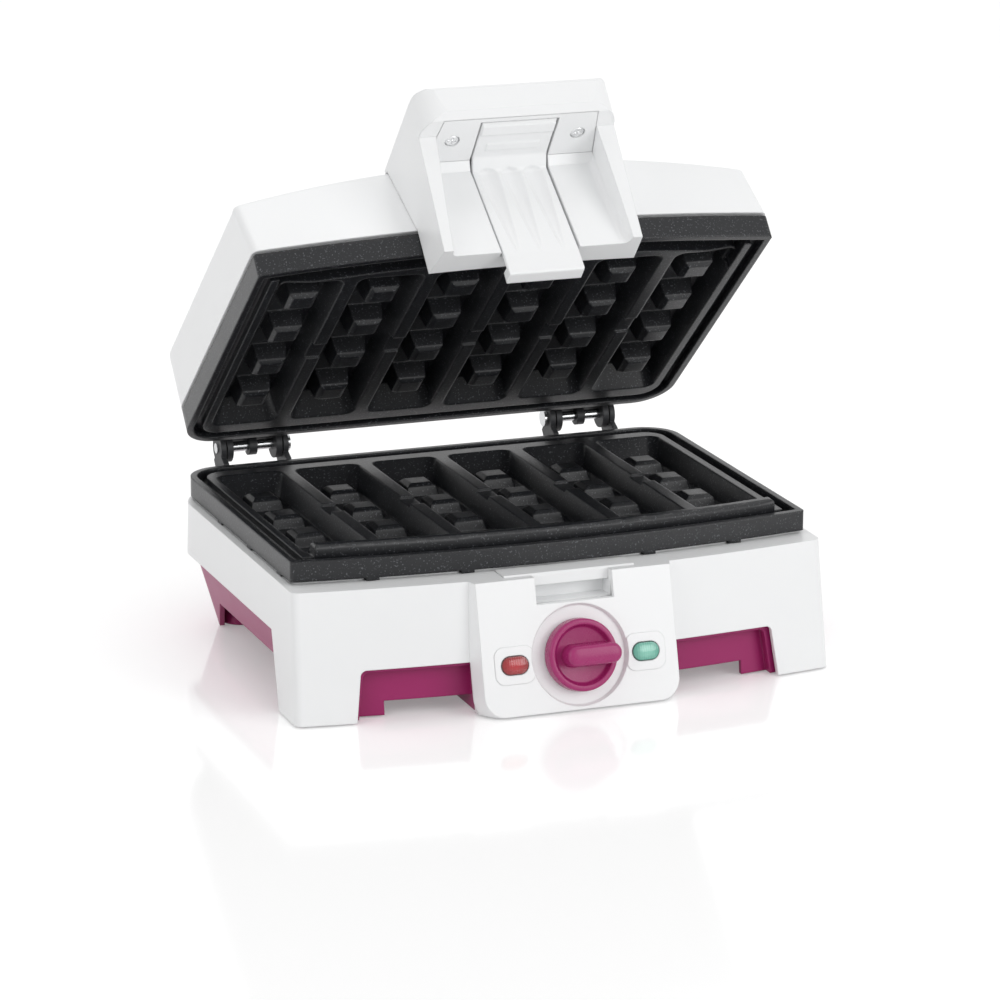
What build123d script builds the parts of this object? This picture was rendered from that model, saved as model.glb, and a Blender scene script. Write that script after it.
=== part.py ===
from build123d import *
from math import cos, radians, sin, sqrt, tan
import os

# Waffle stick maker: two hinged halves with six stick channels each.
# X runs to the right, Y to the back and Z up, in millimetres, with the origin on the table
# under the middle of the appliance. Lid pieces are drawn closed and then opened.

# Cooking plates, seen from above
plate_half_width = 125.0
plate_depth = 166.0
plate_front = -77.0
front_bow = 9.5
plate_rear_radius = 17.5
plate_front_radius = 2.0

# Heights of the plates above the table
lower_rim_bottom = 61.5
lower_rim_height = 9.4
parting_gap = 0.6
upper_rim_height = 10.9
rim_wall = 3.2
gutter_depth = 4.0
gutter_width = 4.6
web_thickness = 3.0
field_drop = 0.6

# Stick channels and the pegs that notch the sticks
channel_count = 6
channel_side = 11.25
channel_divider = 5.3
channel_draft = 4.25
channel_front = 10.5
channel_length = 141.0
channel_end_slope = 10.0
channel_depth = 11.0
channel_corner = 5.0
casting_wall = 2.4
peg_count = 4
peg_pitch = 32.0
peg_setback = 1.5
upper_peg_height = 10.2
lower_peg_height = 6.0
peg_root = (17.0, 16.0)
peg_tip = (13.0, 12.5)
peg_bevel = 1.6
divider_notch_length = 14.0
divider_notch_depth = 1.6

# Bar across the front of the lower plate and the groove it nests in
bar_side = 13.0
bar_setback = 6.2
bar_width = 6.0
bar_height = 5.2
bar_clearance = 1.4

# Lugs under the lower rim
lug_width = 6.0
lug_depth = 2.0
lug_front_places = (-88.0, -44.0, 44.0, 88.0)
lug_side_places = (18.0, 62.0, 106.0)

# Hinge axis, behind and above the parting line, and the lid's travel
hinge_behind_plate = 16.1
hinge_height = 75.2
lid_open_angle = 41.0

# Base housing
wall = 2.6
housing_flare = 1.5
housing_overhang_top = 3.2
housing_top = 60.0
housing_foot = 0.8
ledge_front = 11.2
housing_front_lean = 9.2
base_bow = 10.4
housing_back = 0.5
housing_rear_radius = 25.0
housing_front_radius = 4.0
skirt_height = 35.5
leg_rear_foot = 4.0
leg_rear_top = 17.0
front_cut_inner = 49.4
front_cut_outer_top = 99.5
front_cut_outer_foot = 102.5
front_cut_top = 24.0
cut_radius = 3.0
seat_height = 1.0
seat_width = 4.0
seat_setback = 2.6

# Base pan
pan_gap = 0.5
pan_wall = 2.4
pan_top = 38.0
pan_foot_side = 9.0
pan_back_foot = 156.4
pan_floor = 20.0
side_arch_top = 16.0
side_arch_front = 16.0
side_arch_back = 137.0
side_arch_front_slope = 5.0
side_arch_back_slope = 14.0
front_arch_top = 7.2
front_arch_outer = 87.0
recess_depth = 5.0
recess_border = 2.2
well_back = 3.0
well_floor = 2.4
foot_radius = 7.0
foot_side = 13.0
foot_front = -4.0
foot_back = 143.0
foot_recess = 2.0
foot_fit = 0.3
foot_boss_radius = 10.0

# Control panel
panel_half_width = 47.0
panel_bottom = 1.0
panel_corner = 10.0
panel_lean = 15.0
panel_centre_y = -34.0
panel_centre_z = 24.8
panel_flare = 19.0
panel_depth = 34.0
panel_rim_depth = 8.0
dish_radius = 22.4
dish_depth = 2.2
lamp_x = 31.6
lamp_drop = 1.6
lamp_length = 13.4
lamp_width = 8.8
lamp_fit = 0.15
pad_height = 0.4
notch_half_width = 18.6
notch_bottom = 48.5
notch_fall = 0.8
notch_back = -14.5
notch_wall = 2.0

# Knob and thermostat
knob_radius = 16.6
knob_rim_height = 6.4
knob_rim_width = 2.6
knob_dish = 2.6
knob_gap = 0.8
wing_width = 9.4
wing_rise = 6.4
wing_flat_left = -6.0
wing_left = -14.5
wing_right = 16.2
shaft_radius = 3.0
shaft_flat = 2.0
shaft_fit = 0.06
neck_radius = 4.6
board_depth = 9.0
board_thickness = 1.6
thermostat_depth = 12.0
thermostat_size = (30.0, 24.0, 15.0)

# Latch keeper and lever
keeper_half_width = 31.5
keeper_front = -20.3
keeper_back = -8.3
keeper_rise = 0.6
keeper_web = 2.3
keeper_tongue = 4.0
lever_half_width = 18.0
lever_thickness = 2.6
lever_top = (-38.4, 119.5)
lever_bend = (-17.1, 114.6)
lever_valley = (-12.3, 109.4)
lever_low = (-23.6, 60.5)
hook_front = (-24.7, 49.8)
hook_back = (-17.8, 48.7)
hook_top = 54.4
lever_gap = 1.0
lever_pivot = (-8.0, 114.0)
lever_boss_radius = 3.6
latch_travel = 8.0
flute_places = (-11.0, 0.0, 11.0)
flute_radius = 5.6
flute_slant = -1.5
flute_lead = 0.07
flute_depth = 1.5
pivot_pin_radius = 1.5
pivot_ear = 4.0
pivot_ear_radius = 4.4
pin_fit = 0.05

# Lid shell
lid_gap = 1.4
lid_side_height = 30.0
lid_crown = 10.3
lid_front_lean = 11.0
lid_overhang = 0.4
lid_rear_radius = 19.0
lid_front_radius = 4.0
lid_edge_radius = 3.2
lid_wall = 2.5
lid_seat_width = 4.0
lid_seat_setback = 3.0
lid_seat_height = 2.4

# Handle hood
hood_bottom = 61.3
hood_half_width_back = 51.4
hood_half_width_front = 46.0
hood_plan_back = 8.0
hood_plan_front = -44.8
hood_corner = 13.0
hood_profile = (
    (-28.8, 61.3), (-31.8, 118.2), (-41.6, 120.2), (-44.8, 123.5), (-43.8, 135.2), (-42.0, 137.2),
    (-37.0, 137.6), (-30.0, 136.2), (8.0, 124.4), (8.0, 108.0), (-3.0, 84.0), (-3.0, 61.3),
)
pocket_low = (-23.9, 61.0)
pocket_bend = (-12.6, 109.8)
pocket_top_back = (-15.0, 114.2)
pocket_top_front = (-41.6, 120.2)
pocket_near = (-60.0, 55.8, 31.3)
pocket_far = (-5.0, 37.5, 43.0)
pocket_corner = 3.0
hood_fit = 0.3
hood_rim_gap = 0.9
cover_half_width_front = 37.3
cover_half_width_back = 41.0
cover_thickness = 2.2
cover_seam = 0.25
cover_bridge = 9.0
cover_screw = (30.4, -28.2)
cover_screw_head = 1.3
cover_sink = 1.5
grip_hollow = (
    (-39.0, 121.4), (-39.0, 133.0), (-35.5, 134.2), (-30.0, 132.8), (2.0, 122.8), (2.0, 118.5),
    (-17.5, 116.5),
)
grip_hollow_half_width = 34.0

# Heating elements and shields
element_radius = 3.3
element_side = 30.0
element_front = 24.0
element_back = 136.0
element_bend = 22.0
element_gap = 0.3
terminal_radius = 1.6
terminal_length = 9.0
sheet = 0.6
shield_flange = 0.5
shield_inset = 7.4
shield_flange_inset = 2.8
lower_shield_drop = 17.4
upper_shield_rise = 16.0

# Hinges
hinge_side = 57.0
hinge_width = 34.0
ear_thickness = 2.6
hinge_plate = 2.6
hinge_side_gap = 0.6
hinge_pin_radius = 2.5
hinge_head_radius = 4.0
hinge_head = 2.0
ear_radius = 7.0

# Fasteners
screw_radius = 1.6
screw_head_radius = 3.2
screw_head_height = 2.0
screw_slot = (0.9, 4.0)
pan_screw_side = 13.5
pan_screw_front = 30.0
pan_screw_back = 129.0
boss_rib = 4.0
boss_radius = 4.2
boss_gap = 0.2

# Mains side
bush_x = -52.0
bush_z = 47.0
bush_bore = 3.6
bush_body = 6.0
bush_flange = 8.5
bush_flange_thickness = 2.4
bush_tail = 9.0

# Values that follow from the sizes above
channels_across = 2 * (plate_half_width - channel_side)
channel_pitch = (channels_across + channel_divider) / channel_count
channel_mouth_width = channel_pitch - channel_divider
channel_floor_width = channel_mouth_width - 2 * channel_draft
bar_half_length = plate_half_width - bar_side
pan_half_width_foot = plate_half_width - pan_foot_side
foot_x = pan_half_width_foot - foot_side
element_half_width = plate_half_width - element_side
pan_screw_x = plate_half_width - pan_screw_side
hinge_inner = plate_half_width - hinge_side
hinge_outer = hinge_inner + hinge_width
lower_rim_top = lower_rim_bottom + lower_rim_height
upper_rim_bottom = lower_rim_top + parting_gap
upper_rim_top = upper_rim_bottom + upper_rim_height
hinge_y = plate_front + plate_depth + hinge_behind_plate
lid_bottom = upper_rim_top + lid_gap
lid_side_top = lid_bottom + lid_side_height
lid_half_width = plate_half_width + lid_overhang
housing_half_top = plate_half_width + housing_overhang_top
housing_half_foot = housing_half_top + housing_flare
housing_back_y = plate_front + plate_depth + housing_back
foot_front_y = plate_front - ledge_front - housing_front_lean
deck_under = housing_top - wall
channels = [(i - (channel_count - 1) / 2) * channel_pitch for i in range(channel_count)]
lower_bowl_back = lower_rim_top - channel_depth - casting_wall
upper_bowl_back = upper_rim_bottom + channel_depth + casting_wall
channel_middle = plate_front + channel_front + channel_length / 2
peg_middle = channel_middle - peg_setback
pegs = [peg_middle + (i - (peg_count - 1) / 2) * peg_pitch for i in range(peg_count)]


def plan(half_width, front, back, bow, front_radius, rear_radius, level):
    """Outline seen from above: straight sides and back, front swelling by bow in the middle."""
    with BuildSketch(Plane.XY.offset(level)) as sketch:
        with BuildLine():
            ThreePointArc((-half_width, front), (0, front - bow), (half_width, front))
            Polyline((half_width, front), (half_width, back), (-half_width, back), (-half_width, front))
        make_face()
        fillet(sketch.vertices().group_by(Axis.Y)[-1], rear_radius)
        fillet(sketch.vertices().group_by(Axis.Y)[0], front_radius)
    return sketch.sketch


def plate_plan(inset, level):
    """The plates' outline, drawn in by an even margin."""
    return plan(
        plate_half_width - inset, plate_front + inset, plate_front + plate_depth - inset, front_bow,
        max(plate_front_radius - inset, 0.5), max(plate_rear_radius - inset, 2.0), level)


def plate_slab(inset, low, high):
    """An upright prism on the plates' outline."""
    return extrude(plate_plan(inset, low), high - low, dir=(0, 0, 1))


def box(x, y, z):
    """A box from three pairs of limits."""
    size = (x[1] - x[0], y[1] - y[0], z[1] - z[0])
    middle = ((x[0] + x[1]) / 2, (y[0] + y[1]) / 2, (z[0] + z[1]) / 2)
    return Pos(*middle) * Box(*size)


def side_profile(points, left, right):
    """A prism along X on a closed outline of (y, z) points measured from the plates' front."""
    with BuildSketch(Plane.YZ.offset(left)) as sketch:
        with BuildLine():
            Polyline(*[(plate_front + y, z) for y, z in points], close=True)
        make_face()
    return extrude(sketch.sketch, right - left)


def cylinder_x(radius, left, right, y, z):
    """A cylinder along X."""
    return Pos((left + right) / 2, y, z) * Rot(0, 90, 0) * Cylinder(radius, right - left)


def cylinder_z(radius, x, y, low, high):
    """An upright cylinder."""
    return Pos(x, y, (low + high) / 2) * Cylinder(radius, high - low)


def opened(shape):
    """Turn a piece drawn on the closed lid to where the open lid carries it."""
    return shape.rotate(Axis((0, hinge_y, hinge_height), (1, 0, 0)), -lid_open_angle)


def mirrored(shape):
    """The shape and its mirror image across the middle, as one."""
    return shape + mirror(shape, Plane.YZ)


def on_panel(shape):
    """Place a shape drawn with Z out of the control panel, about the knob's centre."""
    return panel_plane.location * shape


panel_plane = Plane(
    origin=(0, plate_front + panel_centre_y, panel_centre_z), x_dir=(1, 0, 0),
    z_dir=(0, -cos(radians(panel_lean)), sin(radians(panel_lean))))


# Base housing

def housing_plan(inset, level):
    """The housing's outline at a height: it narrows and leans back towards the top."""
    rise = (level - housing_foot) / (housing_top - housing_foot)
    return plan(
        housing_half_foot - housing_flare * rise - inset,
        foot_front_y + housing_front_lean * rise + inset,
        housing_back_y - inset, base_bow,
        max(housing_front_radius - inset, 0.8), housing_rear_radius - inset, level)


def housing_block(inset, low, high):
    """The housing's outer or inner volume between two heights."""
    return loft([housing_plan(inset, low), housing_plan(inset, high)], ruled=True)


def panel_block(inset, top):
    """The control panel's raised boss, from its leaning face back into the housing."""
    low = (panel_bottom - panel_centre_z) / cos(radians(panel_lean)) + inset
    high = (top - panel_centre_z) / cos(radians(panel_lean)) + wall
    half = panel_half_width - inset
    with BuildSketch() as face:
        with BuildLine():
            Polyline((-half, high), (-half, low), (half, low), (half, high), close=True)
        make_face()
        fillet(face.vertices().group_by(Axis.Y)[0], panel_corner - inset)
    block = extrude(face.sketch, panel_depth, dir=(0, 0, -1), taper=-panel_flare)
    block = on_panel(Pos(0, 0, -inset) * block)
    reach = 2 * panel_half_width
    return block & box((-reach, reach), (plate_front - 80, plate_front), (panel_bottom + inset, top))


def obround(length, width, depth):
    """A round-ended slab standing on the XY plane."""
    return extrude(SlotOverall(length, width), depth)


def front_cutouts(margin, low, inner):
    """Openings beside the control panel, between it and the front legs."""
    with BuildSketch(Plane.XZ.offset(-(foot_front_y - 2 * base_bow))) as sketch:
        with BuildLine():
            Polyline(
                (inner, low), (front_cut_outer_foot - margin, low),
                (front_cut_outer_top - margin, front_cut_top - margin),
                (inner, front_cut_top - margin), close=True)
        make_face()
        fillet(sketch.vertices().group_by(Axis.Y)[-1].sort_by(Axis.X)[-1], cut_radius)
    return mirrored(extrude(sketch.sketch, 4 * base_bow, dir=(0, 1, 0)))


def make_base_housing():
    """White moulded housing: sloping walls, deck, front legs, control panel and latch pocket."""
    body = housing_block(0, housing_foot, housing_top)
    body -= front_cutouts(0, housing_foot - 1, front_cut_inner)
    body += panel_block(0, housing_top)
    behind = on_panel(Pos(0, 0, -panel_rim_depth - 50) * Box(400, 200, 100))
    body -= front_cutouts(0, housing_foot - 1, panel_half_width + 0.6) & behind
    body -= housing_block(wall, housing_foot - 1, deck_under)
    body -= panel_block(wall, deck_under)
    body -= plate_slab(shield_inset - 0.8, deck_under - 1, housing_top + 1)
    # Seat ring that carries the plate, with gaps for the plate's lugs
    seat = plate_slab(seat_setback, housing_top, housing_top + seat_height)
    seat -= plate_slab(seat_setback + seat_width, housing_top - 1, housing_top + seat_height + 1)
    seat -= lug_blocks(0.5, housing_top - 0.01, housing_top + seat_height + 1)
    body += seat
    # Lower edge of the sides and back, rising behind the front legs
    body -= side_profile(
        [(leg_rear_foot, housing_foot - 1), (leg_rear_top, skirt_height),
         (plate_depth + 10, skirt_height), (plate_depth + 10, housing_foot - 1)],
        -2 * housing_half_foot, 2 * housing_half_foot)
    # Backing behind the dish, then the dish, the shaft hole and the lamp windows
    body += on_panel(Pos(0, 0, -wall - dish_depth) * extrude(Circle(dish_radius + 1.2), wall + 0.2))
    body += on_panel(mirrored(Pos(lamp_x, -lamp_drop, -0.3) * extrude(
        RectangleRounded(19.0, 17.0, 4.5), pad_height + 0.3)))
    body -= on_panel(Pos(0, 0, -dish_depth) * extrude(Circle(dish_radius), dish_depth + 2, taper=-20))
    body -= on_panel(Pos(0, 0, -4 * wall) * extrude(Circle(neck_radius + 0.3), 8 * wall))
    body -= on_panel(mirrored(Pos(lamp_x, -lamp_drop, -2 * wall) * obround(
        lamp_length, lamp_width, 4 * wall)))
    # Latch pocket in the top of the panel
    pocket_y = (plate_front + keeper_front - 3, plate_front + notch_back)
    body += box(
        (-notch_half_width - notch_wall, notch_half_width + notch_wall),
        (pocket_y[0], pocket_y[1] + notch_wall), (notch_bottom - notch_fall - notch_wall, deck_under + 0.5))
    body -= side_profile(
        [(keeper_front - 20, notch_bottom), (notch_back, notch_bottom - notch_fall),
         (notch_back, housing_top + 1), (keeper_front - 20, housing_top + 1)], -notch_half_width, notch_half_width)
    body -= box(
        (-keeper_half_width - 0.3, keeper_half_width + 0.3),
        (plate_front + keeper_front - 0.3, plate_front + keeper_back + 0.3),
        (keeper_underside() - 0.3, housing_top + 1))
    body -= box(
        (-keeper_half_width - keeper_tongue - 0.3, keeper_half_width + keeper_tongue + 0.3),
        (plate_front + keeper_front - 0.3, plate_front + keeper_back + 0.3),
        (keeper_underside() - 0.3, deck_under))
    # Screw bosses for the pan, carried by ribs that reach over the pan's edge
    for x, y in pan_screw_places():
        body += cylinder_z(boss_radius, x, y, pan_floor + pan_wall + boss_gap, pan_top + boss_rib)
        outer = (housing_half_top - wall + 0.5) * (1 if x > 0 else -1)
        body += box(sorted((x, outer)), (y - 1.2, y + 1.2), (pan_top + boss_gap, pan_top + boss_rib))
        body -= cylinder_z(screw_radius, x, y, pan_floor, pan_floor + 16)
    # Posts that carry the lamp board
    for x in (-17.0, 17.0):
        post = extrude(Circle(2.2), board_depth - wall - dish_depth + 0.4)
        body += on_panel(Pos(x, -lamp_drop, -board_depth) * post)
    # Holes in the back for the cord bush and the hinge bracket screws
    body -= Pos(bush_x, housing_back_y, bush_z) * Rot(90, 0, 0) * Cylinder(bush_body + 0.1, 4 * wall)
    for x, z in bracket_screw_places():
        body -= Pos(x, housing_back_y, z) * Rot(90, 0, 0) * Cylinder(screw_radius, 4 * wall)
    return body


def keeper_underside():
    """Height of the edge that the latch hook pulls up against."""
    return deck_under - keeper_web - boss_gap


def pan_screw_places():
    """Where the four screws join pan and housing."""
    rows = (plate_front + pan_screw_front, plate_front + pan_screw_back)
    return [(x, y) for x in (-pan_screw_x, pan_screw_x) for y in rows]


def lug_blocks(margin, low, high):
    """Small lugs standing in the seam under the plate's edge, at the front and the sides."""
    lugs = Part()
    radius = (plate_half_width ** 2 + front_bow ** 2) / (2 * front_bow)
    for x in lug_front_places:
        edge = plate_front - (sqrt(radius ** 2 - x ** 2) - (radius - front_bow))
        lugs += box(
            (x - lug_width / 2 - margin, x + lug_width / 2 + margin),
            (edge + 0.2, edge + seat_setback + seat_width + 1), (low, high))
    for y in lug_side_places:
        middle = plate_front + y
        lugs += mirrored(box(
            (plate_half_width - seat_setback - seat_width - 1, plate_half_width - 0.2),
            (middle - lug_width / 2 - margin, middle + lug_width / 2 + margin), (low, high)))
    return lugs


# Base pan

def pan_block(inset, low, high):
    """The pan's outer or inner volume: walls that lean in towards the feet."""
    reach = (high - low) / (pan_top - housing_foot)

    def at(level):
        rise = (level - housing_foot) / (pan_top - housing_foot)
        lean = (level - housing_foot) / (housing_top - housing_foot)
        half_top = housing_half_foot - housing_flare * 0.65 - wall - pan_gap
        half = pan_half_width_foot + (half_top - pan_half_width_foot) * rise
        back_top = housing_back_y - wall - pan_gap
        back = plate_front + pan_back_foot + (back_top - plate_front - pan_back_foot) * rise
        front = foot_front_y + housing_front_lean * lean + wall + pan_gap
        return plan(
            half - inset, front + inset, back - inset, base_bow,
            3.0, housing_rear_radius - wall - inset, level)

    return loft([at(low), at(high)], ruled=True) if reach else None


def make_base_pan():
    """Coloured pan: a tray whose skirt forms four feet with arches between them."""
    outer = pan_block(0, housing_foot, pan_top)
    body = outer - pan_block(pan_wall, pan_floor + pan_wall, pan_top + 1)
    body -= pan_block(pan_wall, housing_foot - 1, pan_floor)
    # Well under the control panel for the thermostat and the lamps
    well_half = panel_half_width - wall
    well_reach = (plate_front - 60, plate_front + well_back)
    well = box((-well_half - pan_wall, well_half + pan_wall), (well_reach[0], well_reach[1] + pan_wall),
               (housing_foot, pan_floor + pan_wall))
    body += well & outer
    body -= box((-well_half, well_half), well_reach, (housing_foot + well_floor, pan_top + 1))
    # Recessed fields seen through the housing's front openings, each with a raised border
    thick = outer - Pos(0, recess_depth + pan_wall, 0) * outer
    thin = outer - Pos(0, recess_depth, 0) * outer
    body += thick & front_cutouts(-1.0, housing_foot, well_half + pan_wall)
    body -= thin & front_cutouts(recess_border, housing_foot - 1, well_half + pan_wall)
    # Arches at the sides, front and back
    body -= side_profile(
        [(side_arch_front, housing_foot - 1), (side_arch_front + side_arch_front_slope, side_arch_top),
         (side_arch_back - side_arch_back_slope, side_arch_top), (side_arch_back, housing_foot - 1)],
        -2 * pan_half_width_foot, 2 * pan_half_width_foot)
    reach_y = (plate_front - 60, plate_front + plate_depth + 60)
    body -= mirrored(box((well_half + pan_wall, front_arch_outer), reach_y, (housing_foot - 1, front_arch_top)))
    for x, y in foot_places():
        body += cylinder_z(foot_boss_radius, x, y, housing_foot, pan_floor + 0.5)
        body -= cylinder_z(foot_radius + foot_fit, x, y, housing_foot - 1, housing_foot + foot_recess)
    for x, y in pan_screw_places():
        body -= cylinder_z(screw_radius + 0.2, x, y, pan_floor - 1, pan_floor + pan_wall + 1)
    return body


def foot_places():
    """Centres of the four rubber feet."""
    rows = (plate_front + foot_front, plate_front + foot_back)
    return [(x, y) for x in (-foot_x, foot_x) for y in rows]


def make_rubber_feet():
    """Four rubber pads pushed into the recesses under the pan's feet."""
    top = housing_foot + foot_recess - 0.1
    pad = Part()
    for x, y in foot_places():
        disc = cylinder_z(foot_radius, x, y, 0, top)
        pad += chamfer(disc.edges().group_by(Axis.Z)[0], 0.5)
    return pad


# Cooking plates

def channel_block(x, mouth, floor, grow):
    """One stick channel, wide at its mouth and drawn in at its floor, or its casting around it."""
    mouth_size = (channel_mouth_width + 2 * grow, channel_length + 2 * grow)
    floor_length = channel_length - 2 * channel_end_slope
    floor_size = (channel_floor_width + 2 * grow, floor_length + 2 * grow)
    sections = [
        Pos(x, channel_middle, mouth) * RectangleRounded(*mouth_size, channel_corner + grow),
        Pos(x, channel_middle, floor) * RectangleRounded(*floor_size, channel_corner + grow - 1.0)]
    return loft(sections, ruled=True)


def peg_block(x, y, root, tip):
    """A four-sided tapered peg with a bevelled end."""
    shoulder = tip + peg_bevel * (1 if tip < root else -1)
    share = abs(shoulder - root) / abs(tip - root)
    middle = [a + (b - a) * share for a, b in zip(peg_root, peg_tip)]
    end = [a - 2 * peg_bevel for a in peg_tip]
    sections = [(root, peg_root), (shoulder, middle), (tip, end)]
    return loft([Pos(x, y, level) * Rectangle(*size) for level, size in sections], ruled=True)


def cooking_plate(mouth, back, bowl_back, peg_height, ridges, groove):
    """One plate: rim, gutter, field, channels and pegs, cast in one piece.

    mouth is the parting face's height, back the rim's far edge and bowl_back the channels' back;
    ridges are joined on and groove is cut out before the channels are hollowed.
    """
    away = 1 if back > mouth else -1
    floor = mouth + away * channel_depth
    gutter = mouth + away * gutter_depth
    field = mouth + away * field_drop

    def slab(inset, a, b):
        return plate_slab(inset, min(a, b), max(a, b))

    body = slab(0, mouth, back) - slab(rim_wall, mouth - away, back + away)
    body += slab(rim_wall - 0.5, gutter, gutter + away * web_thickness)
    body += slab(rim_wall + gutter_width, field, field + away * (web_thickness + gutter_depth))
    body += [channel_block(x, field + away * 0.5, bowl_back, casting_wall) for x in channels]
    body += ridges
    if groove:
        body -= groove
    body -= [channel_block(x, mouth - away * 0.5, floor, 0) for x in channels]
    notch_x = ((channel_count - 2) * channel_pitch + channel_pitch) / 2
    notch_y = (channel_middle - divider_notch_length / 2, channel_middle + divider_notch_length / 2)
    body -= box((-notch_x, notch_x), notch_y, sorted((mouth - away, field + away * divider_notch_depth)))
    body += [peg_block(x, y, floor + away * 0.5, floor - away * peg_height) for x in channels for y in pegs]
    return body


def front_bar(grow, low, high):
    """The raised bar that follows the plate's bowed front edge."""
    inner = bar_setback + bar_width + grow
    bar = plate_slab(bar_setback - grow, low, high) - plate_slab(inner, low - 1, high + 1)
    limits = (-bar_half_length - grow, bar_half_length + grow)
    return bar & box(limits, (plate_front - 20, plate_front + 30), (low - 1, high + 1))


def make_lower_plate():
    """Lower plate, with the front bar that keeps batter in and lugs under its rim."""
    bar = front_bar(0, lower_rim_top - gutter_depth - 0.5, lower_rim_top + bar_height)
    bar = fillet(bar.edges().group_by(Axis.Z)[-1], bar_width * 0.3)
    lugs = lug_blocks(0, housing_top + 0.2, lower_rim_bottom + 0.5)
    return cooking_plate(lower_rim_top, lower_rim_bottom, lower_bowl_back, lower_peg_height, [bar, lugs], None)


def make_upper_plate():
    """Upper plate, with the groove that takes the lower plate's bar."""
    depth = bar_height + bar_clearance
    ridge = front_bar(bar_clearance + 1.4, upper_rim_bottom + gutter_depth, upper_rim_bottom + depth + 2)
    groove = front_bar(bar_clearance, upper_rim_bottom - 1, upper_rim_bottom + depth)
    plate = cooking_plate(upper_rim_bottom, upper_rim_top, upper_bowl_back, upper_peg_height, [ridge], groove)
    return opened(plate)


# Heating elements and shields

def element_at(level):
    """Bent tubular heater lying behind a plate, with a connecting pin at each end."""
    near = plate_front + element_front
    far = plate_front + element_back
    points = [
        (-14.0, near), (-element_half_width, near), (-element_half_width, far),
        (element_half_width, far), (element_half_width, near), (14.0, near)]
    with BuildLine(Plane.XY.offset(level)) as line:
        FilletPolyline(*points, radius=element_bend)
    start = Plane(origin=(*points[0], level), z_dir=(-1, 0, 0))
    tube = sweep(start * Circle(element_radius), path=line.wire())
    pins = mirrored(cylinder_x(terminal_radius, 14.0 - terminal_length, 14.5, near, level))
    return tube + pins


def clamps_at(face, level):
    """Two straps that hold the heater against the plate's back."""
    toward = 1 if face > level else -1
    reach = element_radius + 0.3
    strap = Part()
    for x in (channels[1], channels[-2]):
        y = plate_front + element_back
        outer = box((x - 5, x + 5), (y - reach - 5, y + reach + 5), sorted((face, face - toward * 1.2)))
        bridge = box((x - 5, x + 5), (y - reach - 1.2, y + reach + 1.2),
                     sorted((face, level - toward * (reach + 1.2))))
        hollow = box((x - 6, x + 6), (y - reach, y + reach), sorted((face + toward, level - toward * reach)))
        strap += (outer + bridge) - hollow
    return strap


def shield(flange_low, flange_high, tray_bottom):
    """Pressed steel tray around the heater, with a flat flange under the plate's rim."""
    deep = tray_bottom < flange_low
    low, high = (tray_bottom, flange_high) if deep else (flange_low, tray_bottom)
    body = plate_slab(shield_inset, low, high)
    inner = (low + sheet, high + 1) if deep else (low - 1, high - sheet)
    body -= plate_slab(shield_inset + sheet, *inner)
    ring = plate_slab(shield_flange_inset, flange_low, flange_high)
    ring -= plate_slab(shield_inset + sheet / 2, flange_low - 1, flange_high + 1)
    return body + ring


def make_lower_shield():
    """Tray under the lower plate; its flange lies between the seat ring and the rim."""
    top = housing_top + seat_height
    body = shield(top, top + shield_flange, top - lower_shield_drop)
    return body - lug_blocks(0.6, top - 1, top + 1)


def make_upper_shield():
    """Tray over the upper plate."""
    low = upper_rim_top
    return opened(shield(low, low + shield_flange, low + upper_shield_rise))


# Lid shell

def lid_plan(inset, level):
    """The lid's outline at a height: its front leans back as it rises."""
    rise = (level - lid_bottom) / lid_side_height
    return plan(
        lid_half_width - inset, plate_front - lid_overhang + lid_front_lean * rise + inset,
        plate_front + plate_depth + lid_overhang - inset, front_bow,
        max(lid_front_radius - inset, 0.8), lid_rear_radius - inset, level)


def dome(inset):
    """A long drum whose top is the lid's crown, arched from side to side."""
    radius = (lid_half_width ** 2 + lid_crown ** 2) / (2 * lid_crown)
    centre = lid_side_top + lid_crown - radius
    drum = Pos(0, plate_front + plate_depth / 2, centre) * Rot(90, 0, 0) * Cylinder(
        radius - inset, 2 * plate_depth)
    return drum & box((-200, 200), (plate_front - 60, plate_front + plate_depth + 60), (0, 200))


def lid_block(inset, low):
    """The lid's outer or inner volume under its crown."""
    top = lid_side_top + lid_crown + 2
    return loft([lid_plan(inset, low), lid_plan(inset, top)], ruled=True) & dome(inset)


def make_lid_outer():
    """The lid's outer volume with its long top edges rounded."""
    body = lid_block(0, lid_bottom)
    crown = body.faces().sort_by(Axis.Z)[-1]
    return fillet(crown.edges(), lid_edge_radius)


def make_lid_shell():
    """White crowned shell over the upper half, with a seat for the shield's flange."""
    body = make_lid_outer() - lid_block(lid_wall, lid_bottom - 1)
    seat_top = lid_bottom + lid_seat_height
    seat_low = upper_rim_top + shield_flange
    seat = plate_slab(lid_seat_setback, seat_low, seat_top)
    seat -= plate_slab(lid_seat_setback + lid_seat_width, seat_low - 1, seat_top + 1)
    body += seat
    body += plate_slab(lid_wall - 1, lid_bottom, seat_top) - plate_slab(
        lid_seat_setback + 1, lid_bottom - 1, seat_top + 1)
    for x, z in arm_screw_places():
        body -= Pos(x, plate_front + plate_depth, z) * Rot(90, 0, 0) * Cylinder(screw_radius, 4 * wall)
    return opened(body)


# Handle hood and its cover

def hood_outline(inset, low, high):
    """Plan of the hood, narrower at its rounded front, as an upright block."""
    with BuildSketch(Plane.XY.offset(low)) as sketch:
        with BuildLine():
            back = plate_front + hood_plan_back
            front = plate_front + hood_plan_front + inset
            half_back = hood_half_width_back - inset
            half_front = hood_half_width_front - inset
            Polyline((-half_back, back), (half_back, back), (half_front, front), (-half_front, front), close=True)
        make_face()
        fillet(sketch.vertices().group_by(Axis.Y)[0], hood_corner - inset)
    return extrude(sketch.sketch, high - low)


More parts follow.
